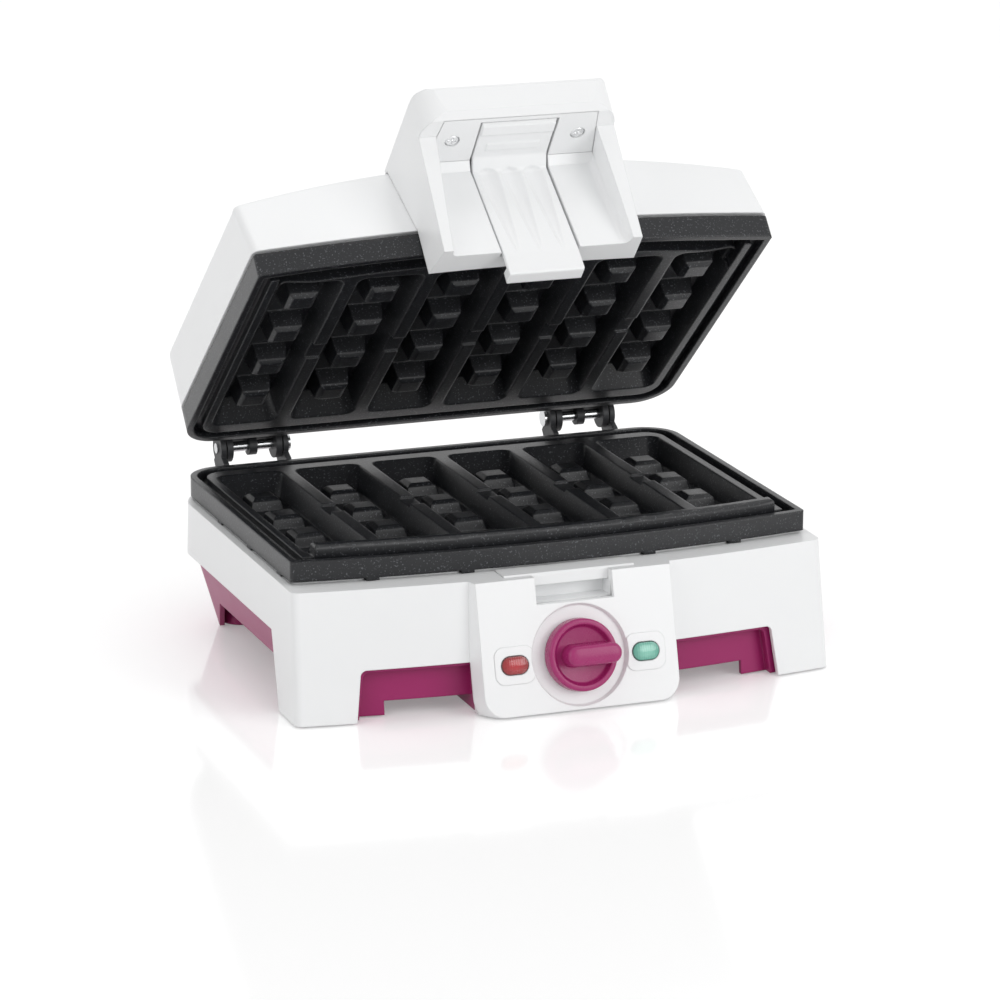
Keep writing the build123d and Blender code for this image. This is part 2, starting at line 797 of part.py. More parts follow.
def pocket_block():
    """The finger pocket's volume: its sides lean, and its back corners are rounded."""
    ends = []
    for y, half_low, half_high in (pocket_near, pocket_far):
        with BuildSketch(Plane.XZ.offset(-(plate_front + y))) as sketch:
            with BuildLine():
                Polyline((-half_low, 30), (half_low, 30), (half_high, 135), (-half_high, 135), close=True)
            make_face()
        ends.append(sketch.sketch)
    sides = loft(ends, ruled=True)
    rise = (pocket_bend[0] - pocket_low[0]) / (pocket_bend[1] - pocket_low[1])
    start = (pocket_low[0] - rise * (pocket_low[1] - 32), 32)
    room = side_profile(
        [(-58, 32), start, pocket_bend, pocket_top_back, pocket_top_front, (-58, 132)], -60, 60)
    pocket = room & sides
    corners = pocket.edges().filter_by(
        lambda e: abs(e.center().X) > 30 and e.length > 60 and e.center().Y > plate_front - 30)
    return fillet(corners, pocket_corner)


def make_handle_hood():
    """White hood over the lid's front: a grip on top, a finger pocket and the latch's slot."""
    outer = side_profile(hood_profile, -60, 60) & hood_outline(0, hood_bottom - 1, 150)
    body = outer - pocket_block()
    # Opening for the cover and the hollow of the grip behind it
    body -= on_cover(cover_slab(0, -3.0, cover_thickness))
    body -= side_profile(grip_hollow, -grip_hollow_half_width, grip_hollow_half_width)
    # Slot for the latch lever, and bosses for the cover's screws and the pivot
    body -= lever_room()
    for side in (-1, 1):
        x = side * cover_screw[0]
        boss = on_cover(Pos(x, 0, cover_thickness + boss_gap) * extrude(Circle(boss_radius), 40))
        body += boss & outer
        body -= on_cover(Pos(x, 0, 0) * extrude(Circle(screw_radius), 12))
    y, z = pivot_place()
    for side in (-1, 1):
        inner = side * (lever_half_width + lever_gap)
        limits = sorted((inner, inner + side * pivot_ear))
        ear = cylinder_x(pivot_ear_radius, *limits, y, z)
        ear += box(limits, (y - 3.0, y + 4.5), (z - 12.0, z))
        body += ear
        body -= cylinder_x(pivot_pin_radius, limits[0] - 1, limits[1] + 1, y, z)
    # Clear the lid shell and both rims
    body -= make_lid_clearance()
    body -= plate_slab(-hood_rim_gap, 0, lid_bottom + 1)
    return opened(body)


def make_lid_clearance():
    """The lid's outer volume grown by the hood's fit."""
    return loft([lid_plan(-hood_fit, lid_bottom - 0.5), lid_plan(-hood_fit, 160)], ruled=True) & dome(-hood_fit)


def pivot_place():
    """The latch pivot's y and z on the closed lid."""
    return plate_front + lever_pivot[0], lever_pivot[1]


def on_cover(shape):
    """Place a shape drawn with Z into the grip, about the cover's screw line."""
    return cover_plane.location * shape


cover_run = (pocket_top_back[0] - pocket_top_front[0], pocket_top_back[1] - pocket_top_front[1])
cover_length = sqrt(cover_run[0] ** 2 + cover_run[1] ** 2)
cover_at = (cover_screw[1] - pocket_top_front[0]) / cover_run[0]
cover_plane = Plane(
    origin=(0, plate_front + cover_screw[1], pocket_top_front[1] + cover_at * cover_run[1]),
    x_dir=(1, 0, 0),
    z_dir=(0, -cover_run[1] / cover_length, cover_run[0] / cover_length))


def cover_slab(inset, low, high):
    """The cover's outline, wider at its back, as a slab on the cover's plane."""
    front = -cover_at * cover_length + inset
    back = (1 - cover_at) * cover_length - inset
    half_front = cover_half_width_front - inset
    half_back = cover_half_width_back - inset
    with BuildSketch(Plane.XY.offset(low)) as sketch:
        with BuildLine():
            Polyline((-half_front, front), (half_front, front), (half_back, back), (-half_back, back), close=True)
        make_face()
    return extrude(sketch.sketch, high - low)


def make_handle_cover():
    """Flat cover that closes the grip from below, cut out for the latch lever."""
    bridge_half = lever_half_width + lever_gap + 2.0
    plate = cover_slab(cover_seam, 0, cover_thickness)
    plate += box((-bridge_half, bridge_half), (-3.0, 3.0), (0, cover_bridge))
    body = on_cover(plate)
    body -= lever_room()
    for side in (-1, 1):
        hole = Pos(side * cover_screw[0], 0, -1) * extrude(Circle(screw_radius + 0.2), 6)
        sink = Pos(side * cover_screw[0], 0, -0.01) * extrude(Circle(screw_head_radius + 0.3), cover_sink + 0.01)
        body -= on_cover(hole + sink)
    return opened(body)


def screw(length, head_height=screw_head_height):
    """Cross-head screw standing on its head: head from z 0, shank upwards."""
    head = extrude(Circle(screw_head_radius), head_height)
    head = chamfer(head.edges().group_by(Axis.Z)[0], 0.5)
    cross = Rectangle(screw_slot[1], screw_slot[0]) + Rectangle(screw_slot[0], screw_slot[1])
    head -= extrude(cross, head_height / 2)
    return head + Pos(0, 0, head_height - 0.1) * extrude(Circle(screw_radius - 0.1), length)


def make_handle_screws():
    """Two screws through the handle cover."""
    pair = Part()
    for side in (-1, 1):
        pair += on_cover(Pos(side * cover_screw[0], 0, cover_sink - cover_screw_head) * screw(10.0, cover_screw_head))
    return opened(pair)


# Latch

def lever_outline():
    """Side view of the lever: top flap, bend, ribbed arm and hook, as (y, z) points."""
    return [
        lever_top, lever_bend, lever_valley, lever_low, hook_front, hook_back,
        (hook_back[0], hook_top), (hook_front[0] + lever_thickness + 0.3, hook_top + 0.3),
        (lever_low[0] + lever_thickness, lever_low[1]),
        (lever_valley[0] + lever_thickness, lever_valley[1] + 0.5),
        (lever_bend[0] + 0.9, lever_bend[1] + lever_thickness),
        (lever_top[0] + 0.4, lever_top[1] + lever_thickness)]


def make_latch_lever():
    """Bent lever with a hook, three tapered flutes and a pivot boss behind its bend."""
    body = side_profile(lever_outline(), -lever_half_width, lever_half_width)
    y, z = pivot_place()
    body += cylinder_x(lever_boss_radius, -lever_half_width, lever_half_width, y, z)
    body += side_profile(
        [(lever_valley[0] + 0.5, lever_valley[1]), (lever_pivot[0], z - lever_boss_radius + 0.4),
         (lever_pivot[0], z + 1.5), (lever_bend[0] + 1, lever_bend[1] + 1)],
        -lever_half_width, lever_half_width)
    body -= cylinder_x(pivot_pin_radius + pin_fit, -lever_half_width - 1, lever_half_width + 1, y, z)
    # Flutes: shallow troughs along the arm, fading out before the hook
    run = (lever_low[0] - lever_valley[0], lever_low[1] - lever_valley[1])
    length = sqrt(run[0] ** 2 + run[1] ** 2)
    normal = (run[1] / length, -run[0] / length)
    for x in flute_places:
        start = (lever_valley[0] + normal[0] * (flute_radius - flute_depth), lever_valley[1]
                 + normal[1] * (flute_radius - flute_depth))
        along = Plane(
            origin=(x, plate_front + start[0] - run[0] * flute_lead, start[1] - run[1] * flute_lead),
            x_dir=(1, 0, 0), z_dir=(0, run[0] / length, run[1] / length))
        body -= along.location * Rot(flute_slant, 0, 0) * extrude(Circle(flute_radius), length * 1.05)
    # Raised step near the tip of the flap
    flap = (lever_bend[0] - lever_top[0], lever_bend[1] - lever_top[1])
    size = sqrt(flap[0] ** 2 + flap[1] ** 2)
    down = (flap[1] / size, -flap[0] / size)
    body += side_profile(
        [lever_top, (lever_top[0] + down[0], lever_top[1] + down[1]),
         (lever_top[0] + down[0] + flap[0] * 0.3, lever_top[1] + down[1] + flap[1] * 0.3),
         (lever_top[0] + flap[0] * 0.36, lever_top[1] + flap[1] * 0.36)],
        -lever_half_width, lever_half_width)
    return opened(body)


def lever_room():
    """Slot in the hood and cover for the lever and its swing."""
    half = lever_half_width + lever_gap
    y, z = lever_pivot
    return side_profile(
        [(lever_top[0] - 0.7, lever_top[1] - 6), (lever_top[0] - 0.7, lever_top[1] + 8.5),
         (lever_bend[0], lever_bend[1] + 10), (y + 5.5, z + 5.5), (y + 5.5, z - 6.0),
         (lever_valley[0] + lever_thickness + 1.2, lever_valley[1] - 6),
         (lever_low[0] + lever_thickness + 1.2, lever_low[1]), (hook_back[0] + 0.6, 58),
         (hook_back[0] + 0.6, 40), (-60, 40), (-60, 100)], -half, half)


def make_latch_pin():
    """Steel pin that carries the lever between the hood's ears."""
    reach = lever_half_width + lever_gap + 3.8
    return opened(cylinder_x(pivot_pin_radius - 0.02, -reach, reach, *pivot_place()))


def make_latch_springs():
    """Two closed coils on the pin, between lever and ears, that return the lever."""
    y, z = pivot_place()
    inner = lever_half_width + 0.1
    outer = lever_half_width + lever_gap - 0.1
    ring = cylinder_x(3.0, inner, outer, y, z) - cylinder_x(2.0, inner - 1, outer + 1, y, z)
    return opened(mirrored(ring))


def make_latch_keeper():
    """Bar set into the deck, with tongues under the deck, that the hook catches."""
    y = (plate_front + keeper_front, plate_front + keeper_back)
    low = keeper_underside()
    bar = box((-keeper_half_width, keeper_half_width), y, (low, housing_top + keeper_rise))
    wide = keeper_half_width + keeper_tongue
    bar += box((-wide, wide), y, (low, low + keeper_web))
    edges = bar.edges().filter_by(Axis.X).group_by(Axis.Z)[-1].sort_by(Axis.Y)[0]
    return chamfer(edges, 0.8)


# Knob, thermostat and lamps

def make_control_knob():
    """Round knob with a dished face and a wing that is highest at its pointing end."""
    low = -dish_depth + knob_gap
    top = low + knob_rim_height
    body = extrude(Circle(knob_radius), knob_rim_height, taper=2)
    body = fillet(body.edges().group_by(Axis.Z)[-1], 1.0)
    body -= Pos(0, 0, knob_rim_height - knob_dish) * extrude(
        Circle(knob_radius - knob_rim_width - 1.6), knob_dish + 1, taper=-30)
    body = Pos(0, 0, low) * body
    floor = top - knob_dish
    with BuildSketch(Plane.XZ.offset(-wing_width / 2)) as sketch:
        with BuildLine():
            Polyline(
                (wing_left, floor - 1), (wing_left, floor + 0.6), (wing_flat_left, top + wing_rise),
                (wing_right, top + wing_rise), (wing_right, floor - 1), close=True)
        make_face()
        fillet(sketch.vertices().filter_by(lambda v: v.Y > top), 2.0)
    wing = extrude(sketch.sketch, wing_width, dir=(0, -1, 0))
    ends = wing.edges().filter_by(Axis.Z).sort_by(Axis.X)[-2:]
    wing = fillet(ends, wing_width * 0.42)
    body += wing & Pos(0, 0, low) * Cylinder(knob_radius + 0.4, 60)
    # Socket for the shaft, with its flat
    socket = extrude(Circle(shaft_radius + shaft_fit), top - low + 1.0)
    socket -= box((-10, 10), (shaft_flat + shaft_fit, 10), (-1, 30))
    body -= Pos(0, 0, low - 0.01) * socket
    return on_panel(body)


def make_thermostat_shaft():
    """Flatted steel shaft from the thermostat into the knob."""
    low = -thermostat_depth - 6.0
    high = -dish_depth + knob_gap + knob_rim_height + 0.6
    shaft = Pos(0, 0, low) * extrude(Circle(shaft_radius), high - low)
    shaft -= box((-10, 10), (shaft_flat, 10), (-dish_depth + knob_gap - 2.0, high + 1))
    return on_panel(shaft)


def make_thermostat():
    """Capillary thermostat: a small metal case with a neck that passes the panel."""
    wide, tall, deep = thermostat_size
    body = Pos(0, 0, -thermostat_depth - deep / 2) * Box(wide, tall, deep)
    neck_top = -dish_depth - 0.4
    body += Pos(0, 0, -thermostat_depth - 0.5) * extrude(Circle(neck_radius), thermostat_depth + 0.5 + neck_top)
    body -= Pos(0, 0, -thermostat_depth - 7.0) * extrude(Circle(shaft_radius + 0.05), 30)
    for x in (-8.0, 8.0):
        body += Pos(x, 0, -thermostat_depth - deep - 3) * Box(0.8, 6.3, 7)
    return on_panel(body)


def lens(side):
    """Clear coloured window with a flange behind the panel."""
    body = Pos(0, 0, -wall - 0.1) * obround(
        lamp_length - 2 * lamp_fit, lamp_width - 2 * lamp_fit, wall + pad_height + 0.5)
    body = fillet(body.edges().group_by(Axis.Z)[-1], 0.4)
    body += Pos(0, 0, -wall - 1.1) * obround(lamp_length + 2, lamp_width + 2, 1.0)
    return on_panel(Pos(side * lamp_x, -lamp_drop, 0) * body)


def make_neon_lamps():
    """Two small glow lamps lying behind the windows."""
    lamp = Pos(lamp_x, -lamp_drop, -board_depth + 2.4) * Rot(0, 90, 0) * Cylinder(2.0, 9.0)
    return on_panel(mirrored(lamp))


def make_lamp_board():
    """Board that carries the lamps, with a hole for the thermostat's neck."""
    board = Pos(0, -lamp_drop, -board_depth - board_thickness / 2) * Box(82.0, 15.0, board_thickness)
    board -= Pos(0, 0, -board_depth - 5) * extrude(Circle(neck_radius + 0.5), 10)
    for x in (lamp_x - 5.2, lamp_x + 5.2):
        board += mirrored(Pos(x, -lamp_drop, -board_depth + 1.2) * Box(0.6, 3.0, 2.8))
    return on_panel(board)


# Mains side

def make_terminal_block():
    """Ceramic terminal block screwed to the pan's floor, with three wire entries."""
    floor = pan_floor + pan_wall
    y = plate_front + 132.0
    body = box((-72.0, -32.0), (y - 9, y + 9), (floor, floor + 14))
    for i in range(3):
        x = -62.0 + 10.0 * i
        body -= Pos(x, y, floor + 8) * Rot(90, 0, 0) * Cylinder(2.2, 30)
        body -= cylinder_z(1.8, x, y - 4, floor + 8, floor + 20)
        body -= cylinder_z(1.8, x, y + 4, floor + 8, floor + 20)
    return body


def make_thermal_fuse():
    """One-shot fuse in a saddle on the floor of the lower shield."""
    floor = housing_top + seat_height - lower_shield_drop + sheet
    y = plate_front + 80.0
    body = box((-5, 5), (y - 5, y + 5), (floor, floor + 1.0))
    body += box((-5, 5), (y - 2.4, y + 2.4), (floor, floor + 2.4))
    return body + cylinder_x(1.9, -11, 11, y, floor + 2.6)


def make_cord_bush():
    """Round bush in the back wall that guides the mains lead."""
    def ring(radius, near, far):
        return Pos(bush_x, (near + far) / 2, bush_z) * Rot(90, 0, 0) * Cylinder(radius, far - near)

    back = housing_back_y
    body = ring(bush_body, back - wall - 2.0, back + bush_flange_thickness)
    body += ring(bush_flange, back, back + bush_flange_thickness)
    body += ring(bush_flange, back - wall - 2.0, back - wall)
    tail = ring(bush_body - 1.0, back, back + bush_tail)
    body += tail
    return body - ring(bush_bore, back - 20, back + 20)


# Hinges

def ear_profile(points, left, right):
    """An ear on a side-view outline with a rounded eye at the hinge axis."""
    return side_profile(points, left, right) + cylinder_x(ear_radius, left, right, hinge_y, hinge_height)


def bracket_screw_places():
    """Screws of the base brackets, as (x, z)."""
    middle = (hinge_inner + hinge_outer) / 2
    return [(side * (middle + dx), 50.0) for side in (-1, 1) for dx in (-8.0, 8.0)]


def arm_screw_places():
    """Screws of the lid arms, as (x, z)."""
    middle = (hinge_inner + hinge_outer) / 2
    return [(side * (middle + dx), lid_bottom + 15.0) for side in (-1, 1) for dx in (-7.0, 7.0)]


def make_hinge_bracket(side):
    """Black bracket on the back of the base, with two ears."""
    back = plate_depth + housing_back
    eye = plate_depth + hinge_behind_plate
    points = [(back, 42.0), (back, 60.0), (back + 5, 70.0), (eye, hinge_height), (eye + 5.5, 68.0), (back + 3, 44.0)]
    body = ear_profile(points, hinge_inner, hinge_inner + ear_thickness)
    body += ear_profile(points, hinge_outer - ear_thickness, hinge_outer)
    body += box((hinge_inner, hinge_outer), (housing_back_y, housing_back_y + hinge_plate), (40.0, 60.0))
    body -= cylinder_x(hinge_pin_radius, 0, 150, hinge_y, hinge_height)
    for x, z in bracket_screw_places():
        if x > 0:
            body -= Pos(x, housing_back_y, z) * Rot(90, 0, 0) * Cylinder(screw_radius + 0.1, 20)
    return body if side > 0 else mirror(body, Plane.YZ)


def make_hinge_arm(side):
    """Black arm screwed to the back of the lid, turning between the bracket's ears."""
    left = hinge_inner + ear_thickness + hinge_side_gap
    right = hinge_outer - ear_thickness - hinge_side_gap
    back = plate_depth + lid_overhang
    eye = plate_depth + hinge_behind_plate
    points = [
        (back, lid_bottom + 2), (back, lid_bottom + 22), (back + hinge_plate, lid_bottom + 22),
        (back + hinge_plate, lid_bottom + 10), (back + 7, lid_bottom + 3), (eye + 3, hinge_height + 5.5), (eye, hinge_height),
        (eye - 5, hinge_height + 2), (back + 2, lid_bottom - 1)]
    body = ear_profile(points, left, right)
    middle = (left + right) / 2
    body -= box((left + 3, right - 3), (hinge_y - 30, hinge_y + 30), (60, hinge_height + 3)) & cylinder_x(
        ear_radius + 6, left, right, hinge_y, hinge_height)
    body += cylinder_x(4.6, middle - 2, middle + 2, hinge_y, hinge_height) & box(
        (left, right), (hinge_y - 20, hinge_y + 20), (60, 90))
    body -= cylinder_x(hinge_pin_radius + 0.05, 0, 150, hinge_y, hinge_height)
    for x, z in arm_screw_places():
        if x > 0:
            body -= Pos(x, plate_front + back, z) * Rot(90, 0, 0) * Cylinder(screw_radius + 0.1, 20)
    body = body if side > 0 else mirror(body, Plane.YZ)
    return opened(body)


def make_hinge_pins():
    """Two headed steel pins, tight in the brackets."""
    pin = cylinder_x(hinge_pin_radius - 0.01, hinge_inner - 0.5, hinge_outer + 0.8, hinge_y, hinge_height)
    pin += cylinder_x(hinge_head_radius, hinge_inner - hinge_head, hinge_inner - 0.05, hinge_y, hinge_height)
    return mirrored(pin)


# Fasteners

def make_pan_screws():
    """Four screws up through the pan into the housing's bosses."""
    group = Part()
    for x, y in pan_screw_places():
        group += Pos(x, y, pan_floor - screw_head_height) * screw(12.0)
    return group


def make_bracket_screws():
    """Four screws of the base brackets."""
    group = Part()
    for x, z in bracket_screw_places():
        group += Pos(x, housing_back_y + hinge_plate + screw_head_height, z) * Rot(90, 0, 0) * screw(7.0)
    return group


def make_arm_screws():
    """Four screws of the lid arms."""
    group = Part()
    for x, z in arm_screw_places():
        seat = plate_front + plate_depth + lid_overhang + hinge_plate
        group += Pos(x, seat + screw_head_height, z) * Rot(90, 0, 0) * screw(6.0)
    return opened(group)


lower_element_level = lower_bowl_back - element_radius - element_gap
upper_element_level = upper_bowl_back + element_radius + element_gap

nodes = {
    "base_housing": make_base_housing(),
    "base_pan": make_base_pan(),
    "rubber_feet": make_rubber_feet(),
    "latch_keeper": make_latch_keeper(),
    "lower_plate": make_lower_plate(),
    "lower_heat_shield": make_lower_shield(),
    "lower_element": element_at(lower_element_level),
    "lower_element_clamps": clamps_at(lower_bowl_back, lower_element_level),
    "upper_plate": make_upper_plate(),
    "upper_heat_shield": make_upper_shield(),
    "upper_element": opened(element_at(upper_element_level)),
    "upper_element_clamps": opened(clamps_at(upper_bowl_back, upper_element_level)),
    "lid_shell": make_lid_shell(),
    "handle_hood": make_handle_hood(),
    "handle_cover": make_handle_cover(),
    "handle_screws": make_handle_screws(),
    "latch_lever": make_latch_lever(),
    "latch_pin": make_latch_pin(),
    "latch_springs": make_latch_springs(),
    "control_knob": make_control_knob(),
    "thermostat_shaft": make_thermostat_shaft(),
    "thermostat": make_thermostat(),
    "red_lens": lens(-1),
    "green_lens": lens(1),
    "neon_lamps": make_neon_lamps(),
    "lamp_board": make_lamp_board(),
    "terminal_block": make_terminal_block(),
    "thermal_fuse": make_thermal_fuse(),
    "cord_bush": make_cord_bush(),
    "hinge_bracket_left": make_hinge_bracket(-1),
    "hinge_bracket_right": make_hinge_bracket(1),
    "hinge_arm_left": make_hinge_arm(-1),
    "hinge_arm_right": make_hinge_arm(1),
    "hinge_pins": make_hinge_pins(),
    "pan_screws": make_pan_screws(),
    "bracket_screws": make_bracket_screws(),
    "arm_screws": make_arm_screws(),
}

os.makedirs("parts", exist_ok=True)
for name, shape in nodes.items():
    export_step(shape, f"parts/{name}.step")
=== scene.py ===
from math import cos, radians, sin

import bpy
import bmesh
import numpy as np
from mathutils import Matrix, Vector


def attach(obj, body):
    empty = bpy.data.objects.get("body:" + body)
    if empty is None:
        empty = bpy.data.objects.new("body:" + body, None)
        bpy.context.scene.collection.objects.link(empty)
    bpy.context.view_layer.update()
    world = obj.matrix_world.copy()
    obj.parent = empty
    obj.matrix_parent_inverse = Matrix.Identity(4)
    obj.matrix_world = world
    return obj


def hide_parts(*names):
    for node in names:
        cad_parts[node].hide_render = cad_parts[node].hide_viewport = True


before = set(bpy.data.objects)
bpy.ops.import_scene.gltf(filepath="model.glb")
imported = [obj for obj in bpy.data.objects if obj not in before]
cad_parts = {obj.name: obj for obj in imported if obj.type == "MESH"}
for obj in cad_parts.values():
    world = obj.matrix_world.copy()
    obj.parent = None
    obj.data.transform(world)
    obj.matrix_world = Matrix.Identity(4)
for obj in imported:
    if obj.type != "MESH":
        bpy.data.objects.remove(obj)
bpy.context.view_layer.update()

# The camera stands in front of the appliance and to its left, a little above it, about two
# metres away. The middle of the plates' front edge falls a little right of the picture's
# middle. Lengths are in millimetres here and below, unless a comment says metres.
MM = 0.001
plate_front = -77.0
view_turn = radians(20.97)
view_drop = radians(15.72)
view_roll = radians(0.325)
view_distance = 2018.6
aim_height = 80.0
pixels_per_radian = 4464.2
picture_pixels = 1000.0
aim_pixel = (553.4, 516.7)
film_width = 36.0
farthest_metres = 50.0


def camera_axes(turn, drop, roll):
    """Right, up and forward unit vectors of a camera turned, tipped down and rolled."""
    forward = Vector((sin(turn) * cos(drop), cos(turn) * cos(drop), -sin(drop)))
    level = Vector((cos(turn), -sin(turn), 0.0))
    above = level.cross(forward)
    right = cos(roll) * level + sin(roll) * above
    up = cos(roll) * above - sin(roll) * level
    return right, up, forward


right, up, forward = camera_axes(view_turn, view_drop, view_roll)
across = (aim_pixel[0] - picture_pixels / 2) / pixels_per_radian
below = (aim_pixel[1] - picture_pixels / 2) / pixels_per_radian
aim = Vector((0.0, plate_front, aim_height))
eye = (aim - view_distance * (forward + across * right - below * up)) * MM
camera_optics = bpy.data.cameras.new("camera")
camera_optics.sensor_width = film_width
camera_optics.lens = pixels_per_radian / picture_pixels * film_width
camera_optics.clip_end = farthest_metres
camera = bpy.data.objects.new("camera", camera_optics)
facing = Matrix((right, up, -forward)).transposed().to_4x4()
camera.matrix_world = Matrix.Translation(eye) @ facing
bpy.context.scene.collection.objects.link(camera)
bpy.context.scene.camera = camera

# Light is that of a white product studio: an even pale surround, a broad panel above and
# behind, one in front on the right, and a small one on the left that picks out the edges.
scene = bpy.context.scene
scene.view_settings.view_transform = "Standard"
surround = bpy.data.worlds.new("surround")
scene.world = surround
surround_level = 0.66


def area_light(name, place, towards, size, watts):
    """A square soft light at a place, turned to face a point, all in metres."""
    lamp = bpy.data.lights.new(name, "AREA")
    lamp.shape = "SQUARE"
    lamp.size = size
    lamp.energy = watts
    light = bpy.data.objects.new(name, lamp)
    away = Vector(place) - Vector(towards)
    turn = away.to_track_quat("Z", "Y").to_matrix().to_4x4()
    light.matrix_world = Matrix.Translation(place) @ turn
    scene.collection.objects.link(light)


area_light("overhead_panel", place=(0.1, 0.6, 1.9), towards=(0.0, 0.0, 0.1), size=1.5, watts=6.0)
area_light("front_panel", place=(1.2, -1.8, 0.9), towards=(0.0, 0.0, 0.1), size=1.2, watts=14.0)
area_light("left_panel", place=(-1.6, -0.9, 0.9), towards=(0.0, 0.0, 0.12), size=0.9, watts=5.0)


class Wire:
    """A shader socket that takes part in sums: each operator adds the Math node it names."""

    def __init__(self, tree, socket):
        self.tree = tree
        self.socket = socket

    def join(self, operation, first, second):
        return self.tree.add("ShaderNodeMath", {"operation": operation}, first, second)

    def __add__(self, other):
        return self.join("ADD", self, other)

    def __radd__(self, other):
        return self.join("ADD", other, self)

    def __sub__(self, other):
        return self.join("SUBTRACT", self, other)

    def __rsub__(self, other):
        return self.join("SUBTRACT", other, self)

    def __mul__(self, other):
        return self.join("MULTIPLY", self, other)

    def __rmul__(self, other):
        return self.join("MULTIPLY", other, self)

    def __pow__(self, other):
        return self.join("POWER", self, other)

    def larger(self, other):
        return self.join("MAXIMUM", self, other)


class Finish:
    """A material, or the world, and its nodes."""

    def __init__(self, owner):
        self.owner = owner
        owner.use_nodes = True
        self.nodes = owner.node_tree.nodes
        self.links = owner.node_tree.links
        self.nodes.clear()

    def add(self, kind, settings=None, *values, **sockets):
        """A node of a kind: its settings first, then its sockets by order or by name."""
        node = self.nodes.new(kind)
        for name, value in (settings or {}).items():
            setattr(node, name, value)
        open_sockets = [socket for socket in node.inputs if socket.enabled]
        for socket, value in zip(open_sockets, values):
            self.feed(socket, value)
        for name, value in sockets.items():
            self.feed(node.inputs[name.replace("_", " ")], value)
        shown = [socket for socket in node.outputs if socket.enabled]
        return Wire(self, shown[0]) if shown else None

    def feed(self, socket, value):
        """Link a wire to a socket, or set the socket's own value."""
        if isinstance(value, Wire):
            self.links.new(value.socket, socket)
        else:
            socket.default_value = value

    def output(self, wire, name):
        """Another output of the node that a wire comes from."""
        return Wire(self, wire.socket.node.outputs[name])


def grey(level):
    """An opaque grey as four numbers."""
    return (level, level, level, 1.0)


def seen_by(finish, *ray_kinds):
    """1 for a ray straight from the camera or of one of the kinds, 0 for any other."""
    camera_ray = finish.add("ShaderNodeLightPath")
    seen = camera_ray
    for kind in ray_kinds:
        seen = seen.larger(finish.output(camera_ray, kind))
    return seen


sky = Finish(surround)
looked_at = seen_by(sky, "Is Glossy Ray", "Is Transmission Ray")
sky_strength = surround_level + looked_at * (1.0 - surround_level)
sky_light = sky.add("ShaderNodeBackground", None, grey(1.0), sky_strength)
sky.add("ShaderNodeOutputWorld", None, sky_light)

# Floor and backdrop are one sheet of glossy white board, curved up behind, in metres. To the
# camera it glows a little, more up the wall than on the floor, so that it shows nearly white
# and still keeps the appliance's soft shadow and a faint reflection.
board_reach = 4.0
board_curve = 1.2
board_top = 4.0
curve_steps = 24
board_white = 0.93
board_rough = 0.09
floor_glow = 0.235
wall_glow = 0.4
weld_metres = 1e-6


def surface(name, grids, body=None):
    """A mesh object on grids of points in metres, each an array of rows by columns by three.

    Neighbouring points make faces; points that coincide are merged, which closes seams and poles.
    """
    points = []
    faces = []
    count = 0
    for grid in grids:
        rows, columns = grid.shape[:2]
        index = np.arange(rows * columns).reshape(rows, columns) + count
        corners = (index[:-1, :-1], index[:-1, 1:], index[1:, 1:], index[1:, :-1])
        faces.append(np.stack(corners, axis=-1).reshape(-1, 4))
        points.append(grid.reshape(-1, 3))
        count += rows * columns
    mesh = bpy.data.meshes.new(name)
    mesh.from_pydata(np.vstack(points), [], np.vstack(faces))
    shell = bmesh.new()
    shell.from_mesh(mesh)
    bmesh.ops.remove_doubles(shell, verts=shell.verts, dist=weld_metres)
    if body:
        bmesh.ops.recalc_face_normals(shell, faces=shell.faces)
    shell.to_mesh(mesh)
    shell.free()
    mesh.polygons.foreach_set("use_smooth", [True] * len(mesh.polygons))
    piece = bpy.data.objects.new(name, mesh)
    scene.collection.objects.link(piece)
    if body:
        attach(piece, body)
    return piece


def board_sheet():
    """A level sheet that bends up into a wall: a quarter circle joins the two straights."""
    flat = np.array([[-board_reach, 0.0], [board_reach, 0.0]])
    turn = np.linspace(0.0, np.pi / 2, curve_steps)
    bend = np.stack([board_reach + board_curve * np.sin(turn), board_curve * (1 - np.cos(turn))], axis=1)
    wall = np.array([[board_reach + board_curve, board_top]])
    run = np.vstack([flat, bend[1:], wall])
    points = np.empty((len(run), 2, 3))
    points[:, :, 0] = (board_reach, -board_reach)
    points[:, :, 1] = run[:, :1]
    points[:, :, 2] = run[:, 1:]
    return points


def object_place(finish):
    """The point being shaded, in metres, in the piece's own frame."""
    return finish.output(finish.add("ShaderNodeTexCoord"), "Object")


floor = surface("studio_board", [board_sheet()])
board = Finish(bpy.data.materials.new("studio_board"))
board_gloss = board.add("ShaderNodeBsdfPrincipled", None, Base_Color=grey(board_white), Roughness=board_rough)
board_height = board.output(board.add("ShaderNodeSeparateXYZ", None, object_place(board)), "Z")
board_glow = board.add("ShaderNodeMapRange", None, board_height, 0.0, board_curve, floor_glow, wall_glow)
board_shown = board.add("ShaderNodeEmission", None, grey(1.0), seen_by(board, "Is Glossy Ray") * board_glow)
board_both = board.add("ShaderNodeAddShader", None, board_gloss, board_shown)
board.add("ShaderNodeOutputMaterial", None, board_both)
floor.data.materials.append(board.owner)

# White mouldings: base housing, lid shell, handle hood, cover and latch keeper. They are
# injection moulded in a satin white plastic with a slight blue cast, and clip or screw
# together, so each has crisp but rounded edges and a faint flow pattern in its gloss.
white = (0.885, 0.892, 0.897)
moulded_edge = 0.7
edge_samples = 6
drift_size = 38.0
drift_shades = (0.985, 1.012)
flow_size = 9.0
flow_in_gloss = 0.07
grain_in_gloss = 0.05
coat_rough = 0.16


def noise(finish, place, size, detail=2.0):
    """Even noise from 0 to 1 whose features are about a size across."""
    return finish.add("ShaderNodeTexNoise", None, Vector=place, Scale=1.0 / (size * MM), Detail=detail)


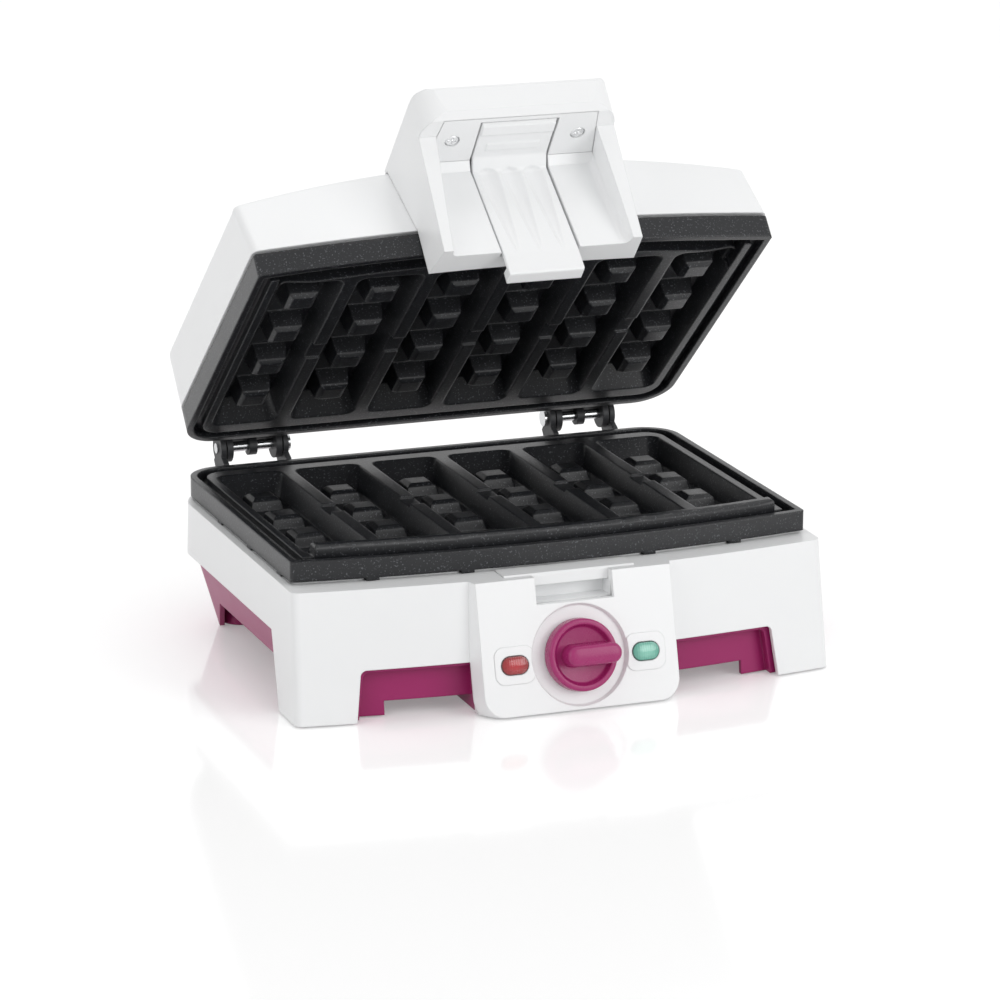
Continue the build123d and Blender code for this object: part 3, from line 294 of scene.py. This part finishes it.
def swing(wire, amount):
    """A noise turned into a change of up to half an amount either way."""
    return (wire - 0.5) * amount


def mixed(finish, share, first, second):
    """A colour between two others by a share."""
    return finish.add("ShaderNodeMix", {"data_type": "RGBA"}, share, first, second)


def span(finish, value, low, high):
    """A value's rise from one level to another as a share from 0 to 1, eased at both ends."""
    return finish.add("ShaderNodeMapRange", {"interpolation_type": "SMOOTHSTEP"}, value, low, high, 0.0, 1.0)


def rounded(finish, radius):
    """The normal of edges rounded by a radius."""
    return finish.add("ShaderNodeBevel", {"samples": edge_samples}, radius * MM)


def relief(finish, height, depth, normal):
    """A surface that rises by a height times a depth."""
    return finish.add("ShaderNodeBump", None, Strength=1.0, Distance=depth * MM, Height=height, Normal=normal)


def shades(colour, factor):
    """A colour times a factor, opaque."""
    return tuple(channel * factor for channel in colour[:3]) + (1.0,)


def moulded(name, colour, rough, coat=0.0, edge=moulded_edge, grain=0.35, depth=0.006, shine=0.5):
    """Moulded plastic: slow colour drift, uneven gloss, a very fine grain and rounded edges."""
    plastic = Finish(bpy.data.materials.new(name))
    place = object_place(plastic)
    drift = noise(plastic, place, drift_size)
    flow = noise(plastic, place, flow_size, detail=3.0)
    fine = noise(plastic, place, grain)
    paint = mixed(plastic, drift, shades(colour, drift_shades[0]), shades(colour, drift_shades[1]))
    skin = plastic.add(
        "ShaderNodeBsdfPrincipled", None, Base_Color=paint,
        Roughness=rough + swing(flow, flow_in_gloss) + swing(fine, grain_in_gloss),
        Normal=relief(plastic, fine, depth, rounded(plastic, edge)),
        Coat_Weight=coat, Coat_Roughness=coat_rough, Specular_IOR_Level=shine)
    plastic.add("ShaderNodeOutputMaterial", None, skin)
    return plastic.owner


def dress(material, *names):
    """Give a material to CAD nodes."""
    for name in names:
        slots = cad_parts[name].data.materials
        slots.clear()
        slots.append(material)


white_plastic = moulded("white_plastic", white, rough=0.34, coat=0.2)
dress(white_plastic, "base_housing", "lid_shell", "handle_hood", "handle_cover", "latch_keeper")

# Base pan: the raspberry lower tray that stands on the feet and shows at the sides and in
# the openings beside the panel. It is moulded in one coloured satin plastic.
raspberry = (0.335, 0.020, 0.128)
raspberry_plastic = moulded("raspberry_plastic", raspberry, rough=0.32, edge=0.9, shine=0.3)
dress(raspberry_plastic, "base_pan")

# Rubber feet: four round pads of black rubber, turned up at the edge and a little hollow
# under the middle, pushed into the pan.
rubber = (0.028, 0.028, 0.028)
foot_radius = 7.0
foot_height = 2.7
foot_edge = 0.8
foot_hollow = 0.4
hollow_flat_radius = 3.85
hollow_rim_radius = 4.9
foot_x = 103.0
foot_y = (-4.0, 143.0)


def turned(profile, columns):
    """A closed shape turned about Z: each (radius, height) of a profile is carried round a circle."""
    angle = np.linspace(0.0, 2 * np.pi, columns + 1)
    ring = np.stack([np.cos(angle), np.sin(angle)], axis=1)
    shape = np.empty((len(profile), columns + 1, 3))
    shape[:, :, :2] = profile[:, None, :1] * ring[None, :, :]
    shape[:, :, 2] = profile[:, 1:]
    return shape


def arc(centre, radius, start, end, count):
    """Points on part of a circle: centre plus radius times cosine and sine of an angle in degrees."""
    angle = np.radians(np.linspace(start, end, count))
    return np.stack([centre[0] + radius * np.cos(angle), centre[1] + radius * np.sin(angle)], axis=1)


foot_profile = np.vstack([
    [[0.0, foot_hollow], [hollow_flat_radius, foot_hollow], [hollow_rim_radius, 0.0]],
    arc((foot_radius - foot_edge, foot_edge), foot_edge, -90, 0, 8),
    [[foot_radius, foot_height], [0.0, foot_height]]])
one_foot = turned(foot_profile, columns=48)
foot_centres = [np.array([x, plate_front + y, 0.0]) for x in (-foot_x, foot_x) for y in foot_y]
feet = surface("foot_pads", [(one_foot + centre) * MM for centre in foot_centres], "base")
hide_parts("rubber_feet")
foot_rubber = moulded("foot_rubber", rubber, rough=0.72, edge=0.4, grain=0.8, depth=0.03)
feet.data.materials.append(foot_rubber)

# Cooking plates: two die castings with a charcoal non-stick coating, sprayed on and baked,
# so it is satin, finely pebbled and full of pale specks, and lies soft over every edge.
casting_edge = 1.3
coating_dark = (0.0105, 0.0112, 0.0132)
coating_speck = (0.115, 0.120, 0.130, 1.0)
speck_size = 0.85
speck_levels = (0.60, 0.70)
speck_share = 0.75
pebble_size = 1.6
pebble_shares = (0.6, 0.4)
pebble_depth = 0.05
cloud_size = 24.0
cloud_shades = (0.85, 1.2)
coating_rough = 0.28
pebble_in_gloss = 0.10
cloud_in_gloss = 0.06
coating = Finish(bpy.data.materials.new("nonstick_coating"))
coating_place = object_place(coating)
fine = noise(coating, coating_place, speck_size)
coarse = noise(coating, coating_place, pebble_size, detail=3.0)
cloud = noise(coating, coating_place, cloud_size, detail=3.0)
specks = span(coating, fine, *speck_levels)
clouded = mixed(coating, cloud, shades(coating_dark, cloud_shades[0]), shades(coating_dark, cloud_shades[1]))
pebbles = fine * pebble_shares[0] + coarse * pebble_shares[1]
coating_skin = coating.add(
    "ShaderNodeBsdfPrincipled", None,
    Base_Color=mixed(coating, specks * speck_share, clouded, coating_speck),
    Roughness=coating_rough + coarse * pebble_in_gloss + swing(cloud, cloud_in_gloss),
    Normal=relief(coating, pebbles, pebble_depth, rounded(coating, casting_edge)),
    Specular_IOR_Level=0.42)
coating.add("ShaderNodeOutputMaterial", None, coating_skin)
dress(coating.owner, "lower_plate", "upper_plate")

# Latch lever: a bent, fluted strip of the white plastic that turns on a pin under the grip.
# Its flap is pulled with the fingers, its foot hooks under the keeper when the lid is shut.
# The side view is drawn on the closed lid, as y from the plates' front edge and height.
hinge = np.array([plate_front + 182.1, 75.2])
open_angle = radians(41.0)
lever_front = np.array([[-38.4, 119.5], [-17.1, 114.6], [-12.3, 109.4],
                        [-23.6, 60.5], [-24.7, 49.8], [-17.8, 48.7]])
lever_rear = np.array([[-37.9, 122.1], [-15.9, 117.2], [-8.7, 110.6],
                       [-21.0, 60.5], [-22.1, 54.6], [-17.8, 54.4]])
lever_steps = (44, 18, 90, 20, 18)
lever_softness = 5
lever_half = 18.0
lever_columns = 145
lever_edge = 0.5
edge_steps = 7
flute_places = np.array([-10.9, 0.0, 10.9])
flute_half = 5.0
flute_deep = 2.5
flute_narrowing = 0.6
flute_shallowing = 0.75
flute_lead = 0.035
flute_round = 0.06
narrowest = 1e-4
band_rise = 0.8
tip_band_ends = ((0.04, 0.08), (0.33, 0.38))
mid_band_ends = ((0.60, 0.64), (0.80, 0.85))
mid_band_sides = (12.6, 13.4)
mid_band_share = 0.6


def opened(points):
    """Points of the closed lid carried to the open lid, turned about the hinge line."""
    y = points[..., 1] - hinge[0]
    z = points[..., 2] - hinge[1]
    swung = points.copy()
    swung[..., 1] = hinge[0] + y * cos(open_angle) + z * sin(open_angle)
    swung[..., 2] = hinge[1] - y * sin(open_angle) + z * cos(open_angle)
    return swung


def along(corners, steps, softness):
    """A bent line through corners, in even steps, its bends softened by averaging neighbours."""
    legs = zip(corners[:-1], corners[1:], steps)
    parts = [np.linspace(start, end, count, endpoint=False) for start, end, count in legs]
    line = np.vstack(parts + [corners[-1:]])
    for _ in range(softness):
        line[1:-1] = (line[:-2] + 2 * line[1:-1] + line[2:]) / 4
    return line


def rise(value, low, high):
    """A smooth step from 0 to 1 between two levels: three times a square less two cubes."""
    share = np.clip((value - low) / (high - low), 0.0, 1.0)
    return share * share * (3 - 2 * share)


def plateau(value, start, end):
    """A smooth rise between one pair of levels and a smooth fall between another."""
    return rise(value, *start) * (1 - rise(value, *end))


def lever_shape():
    """Front and rear lines of the side view make a strip; its cross-section is a rounded bar.

    The front is hollowed by three flutes: across each a parabola, along it a width and depth that
    shrink to a point at the low end and close in a round at the high end. The flap carries a
    raised band at its tip and a short one at its middle.
    """
    front = along(lever_front, lever_steps, lever_softness)
    rear = along(lever_rear, lever_steps, lever_softness)
    # Once round the bar: front, right edges, rear, left edges
    flat = np.linspace(-1, 1, lever_columns) * (lever_half - lever_edge)
    corner = np.radians(np.linspace(0, 90, edge_steps))
    reach = lever_half - lever_edge + lever_edge * np.sin(corner)
    drop = lever_edge * (1 - np.cos(corner))
    half_round = np.concatenate([flat, reach[1:], reach[::-1]])
    across = np.concatenate([half_round, -half_round])
    sunk = np.concatenate([np.zeros(lever_columns), drop[1:], drop[::-1]] * 2)
    on_front = np.repeat([1.0, 1.0, 0.0, 0.0, 0.0, 1.0], [lever_columns, edge_steps - 1, edge_steps] * 2)
    # Flutes, measured from the bend at 0 to the arm's low end at 1
    step = np.arange(len(front), dtype=float)
    marks = np.cumsum((0,) + lever_steps)
    run = (step - marks[2]) / (marks[3] - marks[2])
    left = np.clip(1.0 - run, 0, 1)
    closing = np.sqrt(np.clip((run + flute_lead) / flute_round, 0, 1))
    width = flute_half * left ** flute_narrowing * closing
    depth = flute_deep * left ** flute_shallowing * closing
    offset = (across[None, :, None] - flute_places) / np.maximum(width, narrowest)[:, None, None]
    hollow = (depth[:, None, None] * np.clip(1 - offset ** 2, 0, 1)).sum(axis=2) * on_front
    # Bands, measured from the flap's tip at 0 to its bend at 1
    flap = step / marks[1]
    tip_band = plateau(flap, *tip_band_ends)[:, None]
    mid_band = plateau(flap, *mid_band_ends)[:, None] * (1 - rise(np.abs(across), *mid_band_sides))
    band = band_rise * (tip_band + mid_band_share * mid_band) * on_front * (sunk == 0)
    thick = rear - front
    inward = (thick / np.linalg.norm(thick, axis=1, keepdims=True))[:, None, :]
    front_face = front[:, None, :] + inward * (sunk + hollow - band)[:, :, None]
    rear_face = rear[:, None, :] - inward * sunk[None, :, None]
    rings = np.where(on_front[None, :, None] > 0.5, front_face, rear_face)
    middle = ((front + rear) / 2)[:, None, :]
    ends = np.broadcast_to(middle[[0, -1]], (2,) + rings.shape[1:])
    rings = np.concatenate([ends[:1], rings, ends[1:]])
    shape = np.empty(rings.shape[:2] + (3,))
    shape[:, :, 0] = across
    shape[:, :, 1:] = rings + (plate_front, 0.0)
    return shape


lever = surface("latch_lever_strip", [opened(lever_shape()) * MM], "latch")
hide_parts("latch_lever")
lever.data.materials.append(white_plastic)

# Control knob: moulded raspberry disc with a raised rim, a dished face and a pill-shaped wing
# that runs out over the rim and points. It is pushed onto the thermostat's shaft.
knob_raspberry = (0.350, 0.022, 0.138)
panel_lean = radians(15.0)
panel_middle = np.array([0.0, plate_front - 34.0, 24.8])
panel_axes = np.array([[1.0, 0.0, 0.0],
                       [0.0, sin(panel_lean), cos(panel_lean)],
                       [0.0, -cos(panel_lean), sin(panel_lean)]])
knob_low = -1.4
knob_top = 5.0
knob_radius = 16.6
knob_draft = 0.2
knob_rim = 2.6
knob_floor = 2.4
low_round = 0.4
outer_round = 1.1
inner_round = 0.7
inner_shift = 0.3
dish_round = 1.2
dish_shift = 2.1
dish_middle = 3.0
dish_drops = (0.35, 0.4)
wing_low = 1.6
wing_top = 11.4
wing_ends = (-9.6, 16.4)
wing_half = 4.7
wing_round = 2.2
wing_flare = ((-0.6, 0.0), (-0.5, 0.9), (-0.15, 1.7))
wing_crown = ((1.0, 0.12), (0.0, 0.15))


def on_panel(points):
    """Points drawn across, up and out of the leaning panel, placed about the knob's centre."""
    return panel_middle + points @ panel_axes


knob_profile = np.vstack([
    [[0.0, knob_low], [knob_radius - 2 * low_round, knob_low]],
    arc((knob_radius - low_round, knob_low + low_round), low_round, -90, 0, 4),
    arc((knob_radius - knob_draft - outer_round, knob_top - outer_round), outer_round, 0, 90, 9),
    arc((knob_radius - knob_rim + inner_shift, knob_top - inner_round), inner_round, 90, 160, 7),
    arc((knob_radius - knob_rim - dish_shift, knob_floor + dish_round), dish_round, -20, -90, 7),
    [[dish_middle, knob_floor - dish_drops[0]], [0.0, knob_floor - dish_drops[1]]]])


def pill(ends, half, levels, columns):
    """Stacked outlines with round ends: each level gives an inset and a height to one outline."""
    turn = np.linspace(0, 2 * np.pi, columns + 1)
    shift = np.where(np.cos(turn) >= 0, ends[1] - half, ends[0] + half)
    shape = np.empty((len(levels), columns + 1, 3))
    reach = half - levels[:, :1]
    shape[:, :, 0] = shift + reach * np.cos(turn)
    shape[:, :, 1] = reach * np.sin(turn)
    shape[:, :, 2] = levels[:, 1:]
    return shape


def shoulder(radius, top, count):
    """Insets and heights that follow a quarter circle from an upright wall to a level top."""
    angle = np.radians(np.linspace(0, 90, count))
    return np.stack([radius * (1 - np.cos(angle)), top - radius + radius * np.sin(angle)], axis=1)


wing_levels = np.vstack([
    [[wing_half, wing_low]],
    [[inset, wing_low + height] for inset, height in wing_flare],
    shoulder(wing_round, wing_top, 10),
    [[wing_half - reach, wing_top + height] for reach, height in wing_crown]])
knob_grids = [turned(knob_profile, columns=128), pill(wing_ends, wing_half, wing_levels, columns=96)]
knob = surface("knob_with_wing", [on_panel(grid) * MM for grid in knob_grids], "knob")
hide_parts("control_knob")
knob_plastic = moulded("knob_plastic", knob_raspberry, rough=0.27, coat=0.08, edge=0.4, shine=0.35)
knob.data.materials.append(knob_plastic)

# Lamp windows: two clear tinted plastic caps, red and green, clipped through the panel from
# behind. Each is domed and has fine ribs on its inner face that spread the glow lamp's light.
lamp_x = 31.6
lamp_drop = 1.6
lamp_half_length = 6.55
lamp_half_width = 4.25
lamp_straight = lamp_half_length - lamp_half_width
lamp_rise = 0.9
lamp_edge = 0.5
lamp_crown = 0.7
lamp_root = -3.6
lamp_flange = 1.0
lamp_flange_top = lamp_root + 0.9
# Painted light: each window's colour is paler where light would gather at its middle, and a little along its
# ribs.
painted_glow_levels = (1.2, 6.8)
painted_glow_flatness = 2.2
# Painted shadow at the rim: a band just inside it darkens towards a small share of the tint, where the gap
# round the window is in shade.
rim_shadow_levels = (lamp_half_width * 0.84, lamp_half_width * 0.98)
rim_shadow_share = 0.85
rim_shadow_factor = 0.12
rib_pitch = 1.1
rib_depth = 0.04
haze_size = 2.4
core_in_painted_glow = 0.75
ribs_in_painted_glow = 0.12
haze_in_painted_glow = 0.3
haze_in_gloss = 0.06
window_rough = 0.14
window_edge = 0.3


def window_cap(side):
    """A round-ended cap: flange, upright wall, quarter-round edge, then a crown that rises evenly."""
    inset = np.linspace(lamp_edge, lamp_half_width, 9)
    share = (inset - lamp_edge) / (lamp_half_width - lamp_edge)
    levels = np.vstack([
        [[lamp_half_width, lamp_root], [-lamp_flange, lamp_root]],
        [[-lamp_flange, lamp_flange_top], [0.0, lamp_flange_top]],
        shoulder(lamp_edge, lamp_rise, 8),
        np.stack([inset, lamp_rise + lamp_crown * (1 - (1 - share) ** 2)], axis=1)])
    cap = pill((-lamp_half_length, lamp_half_length), lamp_half_width, levels, columns=80)
    cap[:, :, 0] += side * lamp_x
    cap[:, :, 1] -= lamp_drop
    return on_panel(cap) * MM


def tinted(name, deep, painted_light_tint, side):
    """Ribbed tinted clear plastic: painted light pales its middle, painted shade darkens its rim."""
    tint = Finish(bpy.data.materials.new(name))
    place = object_place(tint)
    middle = tuple(on_panel(np.array([side * lamp_x, -lamp_drop, 0.0])) * MM)
    from_middle = tint.add("ShaderNodeVectorMath", {"operation": "SUBTRACT"}, place, middle)
    apart = tint.add("ShaderNodeSeparateXYZ", None, from_middle)
    rising = tint.add("ShaderNodeVectorMath", {"operation": "DOT_PRODUCT"}, from_middle, tuple(panel_axes[1]))
    upward = tint.output(rising, "Value")
    sideways = (tint.add("ShaderNodeMath", {"operation": "ABSOLUTE"}, apart) - lamp_straight * MM).larger(0.0)
    from_spine = (sideways * sideways + upward * upward) ** 0.5
    # Painted shadow: the colour darkens in a band just inside the rim.
    rim_shadow = span(tint, from_spine, rim_shadow_levels[0] * MM, rim_shadow_levels[1] * MM)
    reach = (apart * apart + upward * upward * painted_glow_flatness) ** 0.5
    core = 1.0 - span(tint, reach, painted_glow_levels[0] * MM, painted_glow_levels[1] * MM)
    wave = tint.add("ShaderNodeMath", {"operation": "SINE"}, apart * (2 * np.pi / (rib_pitch * MM)))
    ribs = wave * 0.5 + 0.5
    haze = noise(tint, place, haze_size)
    # Painted light: the colour is paler at the middle and along the ribs, with a random haze.
    painted_glow = core * core_in_painted_glow + ribs * ribs_in_painted_glow + swing(haze, haze_in_painted_glow)
    skin = tint.add(
        "ShaderNodeBsdfPrincipled", None,
        Base_Color=mixed(tint, rim_shadow * rim_shadow_share, mixed(tint, painted_glow, deep, painted_light_tint), shades(deep, rim_shadow_factor)),
        Roughness=window_rough + haze * haze_in_gloss,
        Normal=relief(tint, ribs, rib_depth, rounded(tint, window_edge)),
        Coat_Weight=0.5, Coat_Roughness=0.05)
    tint.add("ShaderNodeOutputMaterial", None, skin)
    return tint.owner


for name, side, node, deep, painted_light_tint in (
        # Each window's second colour is the painted light at its middle.
        ("red_window", -1, "red_lens", (0.26, 0.004, 0.007, 1.0), (0.50, 0.018, 0.028, 1.0)),
        ("green_window", 1, "green_lens", (0.09, 0.36, 0.27, 1.0), (0.29, 0.66, 0.53, 1.0))):
    window = surface(name, [window_cap(side)], "base")
    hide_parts(node)
    window.data.materials.append(tinted(name, deep, painted_light_tint, side))

# Hinges: brackets on the base and arms on the lid, moulded in black glass-filled plastic with
# a matt spark-etched skin, each pair turning on a bright pin. The cord's bush is of the same.
dark = (0.030, 0.031, 0.034)
dark_plastic = moulded("dark_plastic", dark, rough=0.52, edge=0.6, grain=0.6, depth=0.03)
dress(dark_plastic, "hinge_bracket_left", "hinge_bracket_right", "hinge_arm_left", "hinge_arm_right",
      "cord_bush")

# Screws, pins, coils and clamps: small steel parts. Screws and clamps are zinc plated, pins
# are ground bright, coils are drawn wire and a little darker.
metal_edge = 0.25
stain_size = 6.0
stain_levels = (0.35, 0.75)
stain_shade = 0.55
stain_in_gloss = 0.16
streak_in_tone = 0.12
streak_in_gloss = 0.1


def metal(name, colour, rough, scratch, depth, stain=0.15, stretch=(1.0, 1.0, 1.0)):
    """Bare or plated metal: fine streaks drawn out along an axis, and faint stains that dull it."""
    steel = Finish(bpy.data.materials.new(name))
    place = object_place(steel)
    drawn = steel.add("ShaderNodeMapping", None, Vector=place, Scale=stretch)
    streak = noise(steel, drawn, scratch, detail=4.0)
    spots = noise(steel, place, stain_size, detail=3.0)
    dulled = span(steel, spots, *stain_levels) * stain + streak * streak_in_tone
    skin = steel.add(
        "ShaderNodeBsdfPrincipled", None, Metallic=1.0,
        Base_Color=mixed(steel, dulled, colour, shades(colour, stain_shade)),
        Roughness=rough + swing(spots, stain_in_gloss) + swing(streak, streak_in_gloss),
        Normal=relief(steel, streak, depth, rounded(steel, metal_edge)))
    steel.add("ShaderNodeOutputMaterial", None, skin)
    return steel.owner


zinc = metal("zinc_plate", (0.66, 0.66, 0.64, 1.0), rough=0.34, scratch=0.9, depth=0.01)
dress(zinc, "pan_screws", "bracket_screws", "arm_screws", "upper_element_clamps", "lower_element_clamps")
bright = metal("bright_plate", (0.88, 0.885, 0.89, 1.0), rough=0.30, scratch=0.7, depth=0.004, stain=0.05)
dress(bright, "handle_screws")
ground = metal("ground_pin", (0.62, 0.63, 0.64, 1.0), rough=0.22, scratch=0.25, depth=0.006, stain=0.08,
               stretch=(8.0, 1.0, 1.0))
dress(ground, "latch_pin", "hinge_pins", "thermostat_shaft")
wire = metal("spring_wire", (0.36, 0.35, 0.34, 1.0), rough=0.38, scratch=0.3, depth=0.008)
dress(wire, "latch_springs")

# Heat shields and elements: trays pressed from aluminised sheet, and sheathed tubes bent to a
# loop. The tubes are dull and browned in patches by their own heat.
sheet = metal("aluminised_sheet", (0.64, 0.64, 0.62, 1.0), rough=0.36, scratch=2.5, depth=0.02, stain=0.2,
              stretch=(0.15, 1.0, 1.0))
dress(sheet, "lower_heat_shield", "upper_heat_shield")
sheath_grey = (0.19, 0.185, 0.17, 1.0)
sheath_brown = (0.10, 0.072, 0.05, 1.0)
brown_size = 14.0
brown_levels = (0.4, 0.65)
brown_dulling = 0.4
crust_size = 0.8
crust_depth = 0.02
crust_in_gloss = 0.2
sheath_edge = 0.2
sheath = Finish(bpy.data.materials.new("element_sheath"))
sheath_place = object_place(sheath)
browned = span(sheath, noise(sheath, sheath_place, brown_size, detail=4.0), *brown_levels)
crust = noise(sheath, sheath_place, crust_size, detail=3.0)
sheath_skin = sheath.add(
    "ShaderNodeBsdfPrincipled", None, Base_Color=mixed(sheath, browned, sheath_grey, sheath_brown),
    Metallic=0.85 - browned * brown_dulling, Roughness=0.5 + crust * crust_in_gloss,
    Normal=relief(sheath, crust, crust_depth, rounded(sheath, sheath_edge)))
sheath.add("ShaderNodeOutputMaterial", None, sheath_skin)
dress(sheath.owner, "lower_element", "upper_element")

# Parts inside the base: thermostat, lamp board with its two glow lamps, ceramic terminal
# block and thermal fuse. They are bought in and clipped or screwed behind the panel.
thermostat_metal = metal("nickel_case", (0.55, 0.54, 0.51, 1.0), rough=0.33, scratch=0.6, depth=0.008)
dress(thermostat_metal, "thermostat")
fuse_metal = metal("fuse_case", (0.70, 0.66, 0.55, 1.0), rough=0.30, scratch=0.5, depth=0.006)
dress(fuse_metal, "thermal_fuse")
steatite = moulded("steatite", (0.74, 0.72, 0.66), rough=0.5, coat=0.1, edge=0.4, grain=0.5, depth=0.02)
dress(steatite, "terminal_block")
laminate_colours = ((0.34, 0.24, 0.10, 1.0), (0.42, 0.31, 0.14, 1.0))
weave_per_metre = 1400.0
weave_depth = 0.01
fibre_size = 3.0
fibre_in_gloss = 0.1
laminate_edge = 0.2
laminate = Finish(bpy.data.materials.new("board_laminate"))
laminate_place = object_place(laminate)
weave = laminate.add("ShaderNodeTexVoronoi", None, Vector=laminate_place, Scale=weave_per_metre)
fibre = noise(laminate, laminate_place, fibre_size, detail=3.0)
laminate_skin = laminate.add(
    "ShaderNodeBsdfPrincipled", None, Base_Color=mixed(laminate, fibre, *laminate_colours),
    Roughness=0.42 + fibre * fibre_in_gloss,
    Normal=relief(laminate, weave, weave_depth, rounded(laminate, laminate_edge)))
laminate.add("ShaderNodeOutputMaterial", None, laminate_skin)
dress(laminate.owner, "lamp_board")
glass_colours = ((0.92, 0.90, 0.86, 1.0), (0.80, 0.74, 0.66, 1.0))
soot_size = 2.0
soot_in_gloss = 0.08
glass = Finish(bpy.data.materials.new("lamp_glass"))
soot = noise(glass, object_place(glass), soot_size, detail=3.0)
glass_skin = glass.add(
    "ShaderNodeBsdfPrincipled", None, Base_Color=mixed(glass, soot, *glass_colours),
    Roughness=0.05 + soot * soot_in_gloss, Transmission_Weight=0.85, IOR=1.5)
glass.add("ShaderNodeOutputMaterial", None, glass_skin)
dress(glass.owner, "neon_lamps")
